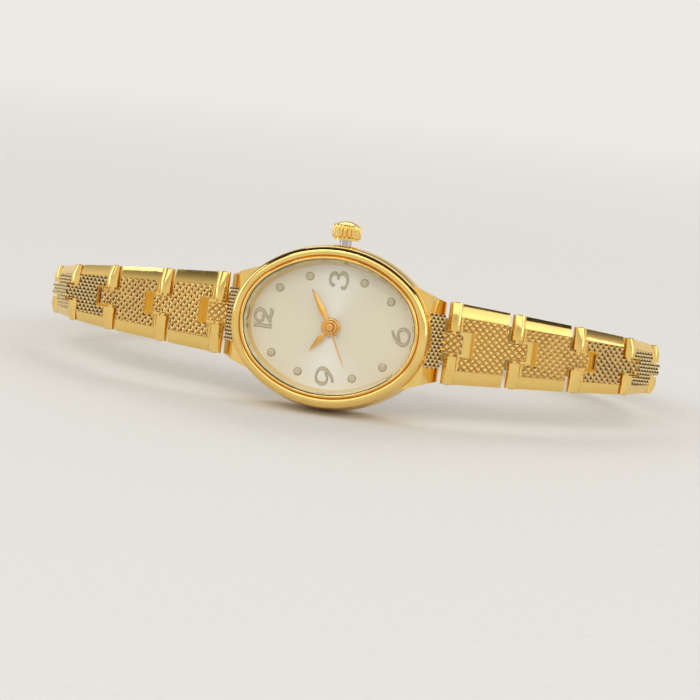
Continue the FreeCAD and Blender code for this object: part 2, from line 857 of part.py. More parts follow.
def link(near_width, far_width):
    slope = (far_width - near_width) / pitch
    end_width = near_width + slope * body_end
    wires = [section(0, near_width, link_back, rail_edge, rail_crest),
             section(body_end, end_width, link_back, rail_edge, rail_crest)]
    body = Part.makeLoft(wires, True, True)
    pad_near = near_width / 2 * crest_share
    pad_far = end_width / 2 * crest_share
    pad = prism([V(pad_start, -pad_near, 0), V(body_end, -pad_far, 0),
                 V(body_end, pad_far, 0), V(pad_start, pad_near, 0)], V(0, 0, pad_level))
    tongue = hinge_tongue(far_width)
    tongue.translate(V(pitch, 0, 0))
    pocket_half = end_width / 2 - pocket_wall
    pocket = block(notch_reach + pocket_wall, body_end - pocket_wall, -pocket_half, pocket_half,
                   2 * link_back, pocket_roof)
    shape = fused([body, pad, near_end(near_width)]).cut([hinge_notch(near_width), pocket])
    tongue = tongue.cut(hinge_bore(far_width, V(pitch, 0, 0)))
    return fused([shape, tongue, hinge_pin(near_width)])


# Clasp

def clasp_frame():
    half = clasp_width / 2
    inner = half - clasp_wall
    near_width = band_end_width
    block_part = block(0, clasp_block, -half, half, link_back, rail_crest)
    channel = block(0, clasp_length, -half, half, link_back, rail_crest)
    channel = channel.cut(block(0, clasp_length, -inner, inner, link_back + clasp_floor, rail_crest))
    peg = disc(clasp_length - peg_from_end, 0, peg_radius, link_back, rail_crest - peg_drop)
    body = fused([near_end(near_width), block_part, channel, peg])
    lever_pin = Part.makeCylinder(lever_pin_radius, 2 * inner + 2 * pin_seat,
                                  V(lever_pin_u, -inner - pin_seat, lever_pin_n), V(0, 1, 0))
    return fused([body.cut(hinge_notch(near_width)), hinge_pin(near_width), lever_pin])


def clasp_lever():
    half = clasp_width / 2
    inner = half - clasp_wall - lever_side_gap
    bottom = rail_crest + lever_seat_gap
    top = bottom + lever_plate
    start = lever_pin_u + lever_relief
    end = clasp_length + catch_gap + catch_thickness
    cover = prism([V(start, -half, bottom), V(start, -half, top - lever_bevel),
                   V(start, lever_bevel_width - half, top), V(start, half - lever_bevel_width, top),
                   V(start, half, top - lever_bevel), V(start, half, bottom)],
                  V(end - start, 0, 0))
    barrel_shape = Part.makeCylinder(lever_barrel, 2 * inner, V(lever_pin_u, -inner, lever_pin_n), V(0, 1, 0))
    neck = block(lever_pin_u, start, -inner, inner, lever_pin_n, top)
    catch = block(clasp_length + catch_gap, end, catch_inset - half, half - catch_inset,
                  link_back + catch_lift, bottom)
    bore = Part.makeCylinder(lever_pin_radius + hinge_fit, clasp_width,
                             V(lever_pin_u, -half, lever_pin_n), V(0, 1, 0))
    peg_way = disc(clasp_length - peg_from_end, 0, peg_radius + peg_clearance, link_back, bottom + peg_drop)
    return fused([cover, barrel_shape, neck, catch]).cut([bore, peg_way])


def clasp_tongue():
    # the slotted tongue on the left end, which the clasp closes over at any of its slots
    near_width = band_end_width
    half = near_width / 2
    root = block(0, tongue_block, -half, half, link_back, rail_crest)
    nose = slide_width / 2
    shoulder = slide_length - nose_length
    tip = nose - nose_taper
    plate = prism([V(slide_start, -nose, slide_bottom), V(shoulder, -nose, slide_bottom),
                   V(slide_length, -tip, slide_bottom), V(slide_length, tip, slide_bottom),
                   V(shoulder, nose, slide_bottom), V(slide_start, nose, slide_bottom)],
                  V(0, 0, slide_thickness))
    cuts = [hinge_notch(near_width)]
    for index in range(slot_count):
        start = first_slot + slot_pitch * index
        cuts.append(block(start, start + slot_length, -slot_width / 2, slot_width / 2, link_back, rail_crest))
    shape = fused([near_end(near_width), root, plate]).cut(cuts)
    return fused([shape, hinge_pin(near_width)])


# Where each link goes

def stations(bends, last_bend):
    # each pin, as distance out from the middle and level, with the heading of what hangs on it
    x = pin_x
    z = pin_level
    heading = 0
    places = []
    for bend in tuple(bends) + (last_bend,):
        heading += bend
        places.append((x, z, heading))
        x += pitch * math.cos(math.radians(heading))
        z -= pitch * math.sin(math.radians(heading))
    return places


right_places = stations(right_bends, clasp_bend)
left_places = stations(left_bends, tongue_bend)


def hung(shape, place, right):
    x, z, heading = place
    shape.rotate(V(0, 0, 0), V(0, 1, 0), heading)
    shape.translate(V(x, 0, z))
    if not right:
        shape.rotate(V(0, 0, 0), V(0, 0, 1), 180)
    return shape


def bracelet():
    pieces = {}
    for index in range(link_count):
        near_width = band_width_at(index)
        far_width = band_width_at(index + 1)
        name = "link_" + str(index + 1)
        pieces["right_" + name] = hung(link(near_width, far_width), right_places[index], True)
        pieces["left_" + name] = hung(link(near_width, far_width), left_places[index], False)
    pieces["clasp_frame"] = hung(clasp_frame(), right_places[-1], True)
    pieces["clasp_lever"] = hung(clasp_lever(), right_places[-1], True)
    pieces["clasp_tongue"] = hung(clasp_tongue(), left_places[-1], False)
    return pieces


def head():
    return {
        "case_body": case_body(),
        "bezel": bezel(),
        "crystal": crystal(),
        "crystal_gasket": crystal_gasket(),
        "case_back": case_back(),
        "case_back_gasket": case_back_gasket(),
        "crown_tube": crown_tube(),
        "dial": dial(),
        "hour_dots": hour_dots(),
        "hour_hand": hour_hand(),
        "minute_hand": minute_hand(),
        "second_hand": second_hand(),
        "main_plate": main_plate(),
        "train_bridge": train_bridge(),
        "movement_screws": movement_screws(),
        "movement_holder": movement_holder(),
        "coil_block": coil_block(),
        "stator": stator(),
        "circuit_board": circuit_board(),
        "quartz_resonator": quartz_resonator(),
        "battery": battery(),
        "battery_clamp": battery_clamp(),
        "rotor": rotor(),
        "fifth_wheel": fifth_wheel(),
        "second_wheel": second_wheel(),
        "third_wheel": third_wheel(),
        "center_wheel": center_wheel(),
        "minute_wheel": minute_wheel(),
        "hour_wheel": hour_wheel(),
        "crown": crown(),
        "stem": stem(),
        "clutch_wheel": clutch_wheel(),
        "setting_lever": setting_lever(),
        "setting_post": setting_post(),
    }


# Standing pose: the watch rests on its nine o'clock flank and on the clasp behind

def lean_angle():
    clasp_x, clasp_z, heading = right_places[-1]
    far_z = clasp_z - clasp_length * math.sin(math.radians(heading))
    return math.degrees(math.atan2(belt_short_radius - clasp_width / 2, belt_level - far_z))


def stand(pieces):
    tip = 90 - lean_angle()
    for shape in pieces.values():
        shape.rotate(V(0, 0, 0), V(1, 0, 0), tip)
    box = Part.makeCompound(list(pieces.values())).optimalBoundingBox(False, False)
    shift = V(-box.Center.x, -box.Center.y, -box.ZMin)
    for shape in pieces.values():
        shape.translate(shift)
    return shift


watch = head()
watch.update(bracelet())
stand_shift = stand(watch)

os.makedirs("parts", exist_ok=True)
for node, shape in watch.items():
    shape.exportStep("parts/" + node + ".step")
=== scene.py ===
import bmesh
import bpy
import json
import math
from mathutils import Matrix, Vector


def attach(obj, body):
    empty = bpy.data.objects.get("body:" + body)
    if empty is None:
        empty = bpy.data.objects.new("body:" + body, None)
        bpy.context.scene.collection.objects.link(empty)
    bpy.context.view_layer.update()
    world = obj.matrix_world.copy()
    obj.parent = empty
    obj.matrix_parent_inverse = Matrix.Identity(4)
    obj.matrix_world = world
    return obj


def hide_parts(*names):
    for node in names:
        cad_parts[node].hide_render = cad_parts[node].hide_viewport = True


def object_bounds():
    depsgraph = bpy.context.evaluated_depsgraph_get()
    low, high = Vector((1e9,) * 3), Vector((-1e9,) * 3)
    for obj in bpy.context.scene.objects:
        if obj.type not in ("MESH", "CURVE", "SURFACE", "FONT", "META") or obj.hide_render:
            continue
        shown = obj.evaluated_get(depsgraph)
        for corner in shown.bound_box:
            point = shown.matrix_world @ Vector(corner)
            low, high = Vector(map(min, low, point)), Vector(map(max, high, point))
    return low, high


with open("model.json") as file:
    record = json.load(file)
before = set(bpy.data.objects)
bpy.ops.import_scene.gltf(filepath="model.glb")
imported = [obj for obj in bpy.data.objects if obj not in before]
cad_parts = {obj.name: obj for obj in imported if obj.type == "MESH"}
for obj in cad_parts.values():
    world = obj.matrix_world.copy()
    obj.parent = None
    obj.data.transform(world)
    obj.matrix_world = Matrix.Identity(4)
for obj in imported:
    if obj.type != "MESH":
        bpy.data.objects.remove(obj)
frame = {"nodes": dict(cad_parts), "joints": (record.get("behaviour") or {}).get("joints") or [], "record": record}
cad_low, cad_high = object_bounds()

# Looks of a small oval bracelet watch in polished gold plate.
# Pieces are drawn in millimetres, in the axes of the head or of their own link.
# In the head, x runs from twelve towards six, y from nine towards three and z out of the dial,
# and the dial's face is at zero. In a link, x runs away from the head, y across the band and
# z out of the wrist, and the link's own hinge pin is at zero.

MM = 0.001
SHARP_ANGLE = math.radians(32)

# Dial window: an oval of four arcs, which the other ovals run parallel to
window_long_radius = 9.1
window_short_radius = 6.95
window_end_radius = 5.7
outline_step = 0.32

# Bezel section, measured outwards from the window and upwards from the dial
rehaut_lean = 0.25
rehaut_height = 1.5
glass_ledge = 0.55
thin_ring_width = 0.36
thin_ring_crown = 0.15
ring_shoulder = 2.15
groove_width = 0.16
groove_depth = 0.2
bezel_width = 2.0
broad_ring_edge = 1.35
broad_ring_rise = 0.38
bezel_seat = 0.6
wall_offset = 0.62

# Case band and lugs
belt_rise = 0.61
case_rim_level = -4.6
case_rim_draw_in = 0.6
back_step = 0.3
back_flange = 0.35
lug_root_level = 0.3
lug_end = 12.2
lug_floor = -3.3
lug_top_under_bezel = 0.3
lug_top = window_long_radius + bezel_width - lug_top_under_bezel
lug_clearance = 0.1
lug_edge_round = 0.12
link_edge_round = 0.05

# Glass and dial
glass_edge = 0.5
glass_bottom = 1.58
glass_top = 2.28
glass_crown = 0.1
glass_bevel = 0.15
glass_foot_width = 0.6
glass_rings = (0.92, 0.8, 0.65, 0.45, 0.2)
dial_edge = 0.3
dial_thickness = 0.4
dial_hole_radius = 0.75
hour_track_long_radius = 8.15
hour_track_short_radius = 5.76
dot_radius = 0.47
dot_height = 0.12
dot_edge_round = 0.14
dot_middle = 0.1
dot_steps = 28
figure_height = 0.1
figure_slope = 0.07

# Hands
hand_thickness = 0.14
hand_half_width = 0.36
second_half_width = 0.1
hour_hub_radius = 1.05
hour_hub_bore = 0.6
minute_hub_radius = 0.78
minute_hub_bore = 0.38
leaf_shoulder_share = 0.32
leaf_tip = 0.03
second_hand_tail = 0.2
second_hand_tip = 0.035

# Crown
crown_flutes = 20
flute_depth = 0.2
crown_collar = 0.2
crown_dome = 0.5
crown_collar_inset = 0.25
crown_edge_inset = 0.12
crown_edge_width = 0.16
crown_rim_width = 0.14
crown_rim_inset = 0.1

# Bracelet
pitch = 7.3
pin_level = -2.65
pin_radius = 0.35
pin_head_height = 0.05
pin_head_round = 0.06
pin_past_notch = 0.2
lip_radius = 0.8
lip_edge = 0.42
link_back = -0.65
link_wall = 0.5
pad_setback = 0.1
floor_setback = 0.05
pocket_roof = 0.15
rail_edge = 0.15
rail_crest = 0.55
rail_crown = 0.06
crest_share = 0.66
notch_share = 0.31
notch_reach = 2.34
body_end = 6.1
tongue_share = 0.245
tongue_reach = 1.25
tongue_thickness = 0.3
knuckle_margin = 0.05
band_width = 9.2
band_taper = 0.9
band_end_width = 5.0
link_count = 8

# Knurl: small blunt pyramids on a diagonal grid
knurl_diagonal = 0.8
knurl_base = 0.42
knurl_tip = 0.65
knurl_foot_share = 0.95
knurl_top_share = 0.17
knurl_margin = 0.06
knurl_sink = 0.02
knurl_plate = 0.1


# Places in the watch, read from the frame

joints = {joint["name"]: joint for joint in frame["joints"]}
nodes = frame["nodes"]


def pin_spot(joint_name):
    return Vector(joints[joint_name]["pos_m"])


def place(origin, along, across, outwards):
    """A matrix that sets a piece drawn in its own axes into the watch."""
    turn = Matrix((along, across, outwards)).transposed().to_4x4()
    return Matrix.Translation(origin) @ turn


def reach(node, spot, direction):
    """How far a CAD node reaches from a spot, least and most, along a direction."""
    reaches = [(corner.co - spot).dot(direction) for corner in nodes[node].data.vertices]
    return min(reaches), max(reaches)


out_of_dial = -Vector(joints["seconds_turn"]["axis"])
towards_three = Vector(joints["crown_turn"]["axis"])
towards_six = towards_three.cross(out_of_dial)
dial_level = reach("dial", pin_spot("seconds_turn"), out_of_dial)[1]
dial_centre = pin_spot("seconds_turn") + out_of_dial * dial_level
head_place = place(dial_centre, towards_six, towards_three, out_of_dial)


def link_places(side):
    """Where each link of one side sits, from the head to the clasp."""
    last = "clasp_frame_hinge" if side == "right" else "clasp_tongue_hinge"
    names = [f"{side}_hinge_{number}" for number in range(1, link_count + 1)] + [last]
    across = towards_three if side == "right" else -towards_three
    places = []
    for here, there in zip(names, names[1:]):
        away = (pin_spot(there) - pin_spot(here)).normalized()
        places.append(place(pin_spot(here), away, across, away.cross(across)))
    return places


def width_at(station):
    return max(band_end_width, band_width - band_taper * station)


# Drawing

def skin(drawing, rows, rows_close=False, ends_close=False):
    """Faces between rows of points, where each row is a closed outline."""
    rings = [[drawing.verts.new(point) for point in row] for row in rows]
    pairs = list(zip(rings, rings[1:]))
    if rows_close:
        pairs.append((rings[-1], rings[0]))
    for near, far in pairs:
        for index in range(len(near)):
            after = (index + 1) % len(near)
            drawing.faces.new((near[index], near[after], far[after], far[index]))
    if ends_close:
        drawing.faces.new(rings[0])
        drawing.faces.new(rings[-1])


def prism(drawing, outline, bottom, top):
    """A plate with an outline in x and y."""
    skin(drawing, [[(x, y, level) for x, y in outline] for level in (bottom, top)], ends_close=True)


def block(drawing, x0, x1, y0, y1, bottom, top):
    prism(drawing, [(x0, y0), (x1, y0), (x1, y1), (x0, y1)], bottom, top)


def ring_points(radius, level, steps=48):
    turns = [math.tau * step / steps for step in range(steps)]
    return [(radius * math.cos(turn), radius * math.sin(turn), level) for turn in turns]


def lathe(drawing, profile, steps=48):
    """A round piece about z, from a profile of radius and level."""
    skin(drawing, [ring_points(radius, level, steps) for radius, level in profile], ends_close=True)


def bowed(start, end, rise, steps):
    """Points along an arc from start to end that stands proud of its chord, on its left, by rise."""
    start, end = Vector(start), Vector(end)
    chord = end - start
    half = chord.length / 2
    radius = (half * half + rise * rise) / (2 * rise)
    side = Vector((-chord.y, chord.x)).normalized()
    middle = (start + end) / 2 + side * (rise - radius)
    widest = math.asin(min(1.0, half / radius))
    points = []
    for step in range(steps + 1):
        turn = widest * (2 * step / steps - 1)
        points.append(middle + side * radius * math.cos(turn) + chord / (2 * half) * radius * math.sin(turn))
    return points


def window_outline():
    """Points round the dial window, each with the direction that leads outwards there."""
    end_centre = window_long_radius - window_end_radius
    side_radius = ((end_centre ** 2 + window_short_radius ** 2 - window_end_radius ** 2)
                   / (2 * (window_short_radius - window_end_radius)))
    side_centre = side_radius - window_short_radius
    corner = math.atan2(side_centre, end_centre)
    arcs = ((end_centre, 0, window_end_radius, -corner, 2 * corner),
            (0, -side_centre, side_radius, corner, math.pi - 2 * corner),
            (-end_centre, 0, window_end_radius, math.pi - corner, 2 * corner),
            (0, side_centre, side_radius, math.pi + corner, math.pi - 2 * corner))
    outline = []
    for x, y, radius, start, sweep in arcs:
        steps = round(radius * sweep / outline_step)
        for step in range(steps):
            turn = start + sweep * step / steps
            away = Vector((math.cos(turn), math.sin(turn)))
            outline.append((Vector((x, y)) + away * radius, away))
    return outline


outline = window_outline()


def run_round(drawing, section):
    """Carries a closed section, drawn outwards and upwards, round the dial window."""
    rows = []
    for spot, away in outline:
        rows.append([(*(spot + away * out), level) for out, level in section])
    skin(drawing, rows, rows_close=True)


def oval_row(grow, level, shrink=1.0):
    return [(*((spot + away * grow) * shrink), level) for spot, away in outline]


def smooth_path(points, steps=6):
    """A smooth line through points, whose numbers may be places and widths."""
    path = [points[0], *points, points[-1]]
    path = [Vector(point) for point in path]
    smooth = []
    for before, start, end, after in zip(path, path[1:], path[2:], path[3:]):
        for step in range(steps):
            t = step / steps
            smooth.append(0.5 * (2 * start + (end - before) * t
                                 + (2 * before - 5 * start + 4 * end - after) * t ** 2
                                 + (3 * start - before - 3 * end + after) * t ** 3))
    smooth.append(path[-1])
    return smooth


def finish_piece(name, drawing, where, body, material, stands_for=()):
    """Turns a drawing into a piece of the watch that rides on a body."""
    bmesh.ops.recalc_face_normals(drawing, faces=drawing.faces)
    bmesh.ops.scale(drawing, vec=(MM, MM, MM), verts=drawing.verts)
    for face in drawing.faces:
        face.smooth = True
    for edge in drawing.edges:
        edge.smooth = edge.calc_face_angle(0) < SHARP_ANGLE
    mesh = bpy.data.meshes.new(name)
    drawing.to_mesh(mesh)
    drawing.free()
    mesh.materials.append(material)
    piece = bpy.data.objects.new(name, mesh)
    bpy.context.scene.collection.objects.link(piece)
    piece.matrix_world = where
    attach(piece, body)
    if stands_for:
        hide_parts(*stands_for)
    return piece


def soften_edges(piece, width):
    """Rounds the sharp edges, as polishing does, so that they catch the light."""
    rounding = piece.modifiers.new("polished_edges", "BEVEL")
    rounding.width = width * MM
    rounding.segments = 2
    rounding.limit_method = "ANGLE"
    rounding.angle_limit = SHARP_ANGLE
    rounding.harden_normals = True


# Materials

def linear(hex_code):
    """An sRGB hex colour as Blender's linear one."""
    parts = [int(hex_code[start:start + 2], 16) / 255 for start in (1, 3, 5)]
    return tuple(p / 12.92 if p < 0.04045 else ((p + 0.055) / 1.055) ** 2.4 for p in parts) + (1.0,)


def wire(tree, node, inputs):
    """Sets a node's inputs, or links them where the value is another node's socket."""
    for name, value in inputs.items():
        if isinstance(value, bpy.types.NodeSocket):
            tree.links.new(value, node.inputs[name])
        else:
            node.inputs[name].default_value = value


def add_node(tree, kind, inputs, **settings):
    """One small function adds any node, with its settings and its links."""
    node = tree.nodes.new(kind)
    for name, value in settings.items():
        setattr(node, name, value)
    wire(tree, node, inputs)
    return node


def start_material(name):
    """A material with only its shader in it, and the piece's own coordinates."""
    material = bpy.data.materials.new(name)
    material.use_nodes = True
    tree = material.node_tree
    shader = tree.nodes["Principled BSDF"]
    spot = add_node(tree, "ShaderNodeTexCoord", {})
    return material, tree, shader, spot.outputs["Object"]


def worked_metal(name, light, dark, smooth, rough, grain, depth, stretch=(1, 1, 1)):
    """A metal whose tone, gloss and relief follow one grain. Grain and depth are in millimetres."""
    material, tree, shader, spot = start_material(name)
    run = add_node(tree, "ShaderNodeMapping", {"Vector": spot, "Scale": stretch})
    tooth = add_node(tree, "ShaderNodeTexNoise",
                     {"Vector": run.outputs[0], "Scale": 1 / (grain * MM), "Detail": 5.0, "Roughness": 0.55})
    gloss = add_node(tree, "ShaderNodeMapRange",
                     {"Value": tooth.outputs[0], 1: 0.3, 2: 0.7, 3: smooth, 4: rough})
    relief = add_node(tree, "ShaderNodeBump", {"Height": tooth.outputs[0], "Distance": depth * MM})
    tone = add_node(tree, "ShaderNodeMix",
                    {0: tooth.outputs[0], 6: linear(light), 7: linear(dark)}, data_type="RGBA")
    wire(tree, shader, {"Base Color": tone.outputs[2], "Roughness": gloss.outputs[0],
                        "Normal": relief.outputs[0]})
    shader.inputs["Metallic"].default_value = 1.0
    return material


def polished_gold_plate():
    # Brass under gold plate, mop polished: mirror bright, with the faint cloudy wipe of the mop
    return worked_metal("polished_gold_plate", "#F8D98C", "#EBC36A", 0.06, 0.14, 2.0, 0.01)


def knurled_gold_plate_painted_light():
    # The same plate over rolled knurling, with light and shade painted by height: painted highlight in pale cream
    # on the blunt tips and flanks, painted shade in dark amber in the grooves
    material, tree, shader, spot = start_material("knurled_gold_plate_painted_light")
    bright_level = 0.6 * knurl_base + 0.4 * knurl_tip
    depth = add_node(tree, "ShaderNodeSeparateXYZ", {0: spot})
    # Height above the groove floor, which places the painted shade low down and the painted highlight near the
    # tips
    painted_light_height = add_node(tree, "ShaderNodeMapRange",
                    {"Value": depth.outputs[2], 1: knurl_base * MM, 2: bright_level * MM})
    speckle = add_node(tree, "ShaderNodeTexNoise",
                       {"Vector": spot, "Scale": 1 / (0.25 * MM), "Detail": 4.0})
    speckled_painted_light = add_node(tree, "ShaderNodeMath", {0: painted_light_height.outputs[0], 1: speckle.outputs[0]},
                      operation="MULTIPLY_ADD")
    speckled_painted_light.inputs[2].default_value = 0.35
    # Dark amber is painted shade in the grooves, pale cream a painted highlight on the tips, broken by a random
    # speckle
    tone = add_node(tree, "ShaderNodeMix",
                    {0: speckled_painted_light.outputs[0], 6: linear("#C68F38"), 7: linear("#FFECB8")}, data_type="RGBA")
    gloss = add_node(tree, "ShaderNodeMapRange", {"Value": painted_light_height.outputs[0], 3: 0.26, 4: 0.12})
    wire(tree, shader, {"Base Color": tone.outputs[2], "Roughness": gloss.outputs[0]})
    shader.inputs["Metallic"].default_value = 1.0
    return material


def gilt_hand_brass():
    # Stamped brass, thinly gilt: more orange than the case, with a soft sheen
    return worked_metal("gilt_hand_brass", "#FBC050", "#EDA436", 0.18, 0.3, 0.5, 0.002)


def turned_steel():
    # Bar steel turned on a small lathe: grey, bright, with a trace of tool marks
    return worked_metal("turned_steel", "#D2D1CE", "#ABAAA8", 0.16, 0.28, 0.12, 0.001)


def brushed_steel():
    # Stainless sheet brushed in one direction: long fine lines from twelve to six
    return worked_metal("brushed_steel", "#CDCCC8", "#A2A09B", 0.24, 0.42, 0.08, 0.003, (0.03, 1, 1))


def nickel_plated_plate():
    # Movement plate in nickel-plated brass: warm grey, with a dull tumbled surface
    return worked_metal("nickel_plated_plate", "#C9C2B0", "#A59E8E", 0.3, 0.5, 0.2, 0.002)


def soft_iron():
    # Annealed iron sheet of the stator: dark grey and matt
    return worked_metal("soft_iron", "#8C8D90", "#66676B", 0.42, 0.6, 0.15, 0.003)


def sintered_magnet():
    # Sintered rare-earth rotor: nearly black, fine-grained like cast stone
    return worked_metal("sintered_magnet", "#55565A", "#3A3B3F", 0.45, 0.65, 0.06, 0.004)


def drawn_nickel_can():
    # Deep-drawn nickelled steel of the cell and the resonator: bright, with draw lines
    return worked_metal("drawn_nickel_can", "#D9D8D4", "#B9B7B2", 0.14, 0.26, 0.3, 0.001, (1, 1, 0.1))


def cut_brass():
    # Hobbed brass wheels: yellow and satin
    return worked_metal("cut_brass", "#DDB968", "#BB9445", 0.22, 0.38, 0.1, 0.002)


def nitrile_rubber():
    # Moulded black nitrile: matt, with a fine bloom
    material, tree, shader, spot = start_material("nitrile_rubber")
    bloom = add_node(tree, "ShaderNodeTexNoise", {"Vector": spot, "Scale": 1 / (0.2 * MM), "Detail": 3.0})
    tone = add_node(tree, "ShaderNodeMix",
                    {0: bloom.outputs[0], 6: linear("#141414"), 7: linear("#2A2A2A")}, data_type="RGBA")
    gloss = add_node(tree, "ShaderNodeMapRange", {"Value": bloom.outputs[0], 3: 0.55, 4: 0.8})
    wire(tree, shader, {"Base Color": tone.outputs[2], "Roughness": gloss.outputs[0]})
    return material


def milky_nylon():
    # Milky nylon ring pressed in round the glass: pale honey, so no dark line shows there
    material, tree, shader, spot = start_material("milky_nylon")
    haze = add_node(tree, "ShaderNodeTexNoise", {"Vector": spot, "Scale": 1 / (0.8 * MM)})
    tone = add_node(tree, "ShaderNodeMix",
                    {0: haze.outputs[0], 6: linear("#F2E3B4"), 7: linear("#DCC78E")}, data_type="RGBA")
    gloss = add_node(tree, "ShaderNodeMapRange", {"Value": haze.outputs[0], 3: 0.25, 4: 0.4})
    wire(tree, shader, {"Base Color": tone.outputs[2], "Roughness": gloss.outputs[0]})
    return material


def moulded_acetal():
    # White acetal of the movement holder: waxy, with slow flow marks from the mould
    material, tree, shader, spot = start_material("moulded_acetal")
    flow = add_node(tree, "ShaderNodeTexNoise", {"Vector": spot, "Scale": 1 / (2.5 * MM), "Distortion": 1.5})
    tone = add_node(tree, "ShaderNodeMix",
                    {0: flow.outputs[0], 6: linear("#E9E6DC"), 7: linear("#D6D2C6")}, data_type="RGBA")
    gloss = add_node(tree, "ShaderNodeMapRange", {"Value": flow.outputs[0], 3: 0.35, 4: 0.5})
    wire(tree, shader, {"Base Color": tone.outputs[2], "Roughness": gloss.outputs[0]})
    return material


def enamelled_copper_wire():
    # Coil of enamelled wire. The turns are drawn at 0.12 mm, coarser than the real 0.02 mm
    material, tree, shader, spot = start_material("enamelled_copper_wire")
    turns = add_node(tree, "ShaderNodeTexWave",
                     {"Vector": spot, "Scale": 0.31 / (0.12 * MM), "Distortion": 0.4},
                     bands_direction="Y")
    relief = add_node(tree, "ShaderNodeBump", {"Height": turns.outputs[1], "Distance": 0.03 * MM})
    tone = add_node(tree, "ShaderNodeMix",
                    {0: turns.outputs[1], 6: linear("#8A3F18"), 7: linear("#C9713A")}, data_type="RGBA")
    gloss = add_node(tree, "ShaderNodeMapRange", {"Value": turns.outputs[1], 3: 0.45, 4: 0.25})
    wire(tree, shader, {"Base Color": tone.outputs[2], "Roughness": gloss.outputs[0],
                        "Normal": relief.outputs[0]})
    shader.inputs["Metallic"].default_value = 0.8
    return material


def solder_mask_board():
    # Glass-epoxy board under green solder mask: glossy, with the weave just showing
    material, tree, shader, spot = start_material("solder_mask_board")
    weave = add_node(tree, "ShaderNodeTexVoronoi", {"Vector": spot, "Scale": 1 / (0.4 * MM)},
                     distance="CHEBYCHEV")
    tone = add_node(tree, "ShaderNodeMix",
                    {0: weave.outputs[0], 6: linear("#0E4A26"), 7: linear("#1B6B3A")}, data_type="RGBA")
    gloss = add_node(tree, "ShaderNodeMapRange", {"Value": weave.outputs[0], 3: 0.2, 4: 0.35})
    wire(tree, shader, {"Base Color": tone.outputs[2], "Roughness": gloss.outputs[0]})
    return material


def sunray_lacquer_painted_fan():
    # Dial blank brushed outwards from its centre, then lacquered champagne, with fine rays and anisotropic gloss.
    # A bright fan towards three and nine, where the brushing lies across the light, is also painted into its
    # colour as a painted highlight
    material, tree, shader, spot = start_material("sunray_lacquer_painted_fan")
    ray = add_node(tree, "ShaderNodeVectorMath", {0: spot}, operation="NORMALIZE")
    parts = add_node(tree, "ShaderNodeSeparateXYZ", {0: ray.outputs[0]})
    # Painted highlight: paler towards three and nine, by direction from the dial's centre, broken by the rays
    upright = add_node(tree, "ShaderNodeMath", {0: parts.outputs[1]}, operation="ABSOLUTE")
    painted_fan = add_node(tree, "ShaderNodeMath", {0: upright.outputs[0], 1: 7.0}, operation="POWER")
    rays = add_node(tree, "ShaderNodeTexNoise", {"Vector": ray.outputs[0], "Scale": 45.0, "Detail": 4.0})
    broken = add_node(tree, "ShaderNodeMapRange",
                      {"Value": rays.outputs[0], 1: 0.25, 2: 0.75, 3: 0.75, 4: 1.0})
    sheen = add_node(tree, "ShaderNodeMath", {0: painted_fan.outputs[0], 1: broken.outputs[0]},
                     operation="MULTIPLY")
    # The paler colour is the painted highlight of the fan over the dial's own champagne
    tone = add_node(tree, "ShaderNodeMix",
                    {0: sheen.outputs[0], 6: linear("#F0E6CC"), 7: linear("#FFFBF0")}, data_type="RGBA")
    gloss = add_node(tree, "ShaderNodeMapRange", {"Value": rays.outputs[0], 3: 0.3, 4: 0.45})
    brushing = add_node(tree, "ShaderNodeTangent", {}, direction_type="RADIAL", axis="Z")
    wire(tree, shader, {"Base Color": tone.outputs[2], "Roughness": gloss.outputs[0],
                        "Tangent": brushing.outputs[0]})
    shader.inputs["Metallic"].default_value = 0.2
    shader.inputs["Anisotropic"].default_value = 0.6
    return material


def embossed_lacquer_painted_shade():
    # Figures and dots struck up from the dial: flat tops a little darker than it, and low flanks
    # painted taupe by height, as painted shade where they turn from the light
    material, tree, shader, spot = start_material("embossed_lacquer_painted_shade")
    height = add_node(tree, "ShaderNodeSeparateXYZ", {0: spot})
    # Painted shade by height: nought low on the flanks, one on the flat tops
    flank = add_node(tree, "ShaderNodeMapRange",
                     {"Value": height.outputs[2], 1: 0.6 * figure_height * MM, 2: figure_height * MM})
    mottle = add_node(tree, "ShaderNodeTexNoise", {"Vector": spot, "Scale": 1 / (0.3 * MM)})
    top = add_node(tree, "ShaderNodeMix",
                   {0: mottle.outputs[0], 6: linear("#D3C6A4"), 7: linear("#C4B692")}, data_type="RGBA")
    # The taupe on the low flanks is painted shade
    tone = add_node(tree, "ShaderNodeMix",
                    {0: flank.outputs[0], 6: linear("#83704A"), 7: top.outputs[2]}, data_type="RGBA")
    wire(tree, shader, {"Base Color": tone.outputs[2]})
    shader.inputs["Metallic"].default_value = 0.55
    shader.inputs["Roughness"].default_value = 0.35
    return material


def mineral_glass():
    # Hardened mineral glass with a polished bevel: clear, with a faint smear of handling.
    # Lamps' rays pass straight through it, so the dial below is lit
    material, tree, shader, spot = start_material("mineral_glass")
    smear = add_node(tree, "ShaderNodeTexNoise", {"Vector": spot, "Scale": 1 / (3.0 * MM), "Detail": 3.0})
    gloss = add_node(tree, "ShaderNodeMapRange", {"Value": smear.outputs[0], 3: 0.0, 4: 0.03})
    wire(tree, shader, {"Roughness": gloss.outputs[0]})
    shader.inputs["Base Color"].default_value = linear("#FDFEFD")
    shader.inputs["Transmission Weight"].default_value = 1.0
    shader.inputs["IOR"].default_value = 1.52
    clear = add_node(tree, "ShaderNodeBsdfTransparent", {})
    path = add_node(tree, "ShaderNodeLightPath", {})
    mixed = add_node(tree, "ShaderNodeMixShader",
                     {0: path.outputs["Is Shadow Ray"], 1: shader.outputs[0], 2: clear.outputs[0]})
    wire(tree, tree.nodes["Material Output"], {"Surface": mixed.outputs[0]})
    return material


gold = polished_gold_plate()
knurled = knurled_gold_plate_painted_light()
hand_gilt = gilt_hand_brass()
steel = turned_steel()
dial_lacquer_painted_fan = sunray_lacquer_painted_fan()
embossed = embossed_lacquer_painted_shade()
glass = mineral_glass()


# Head

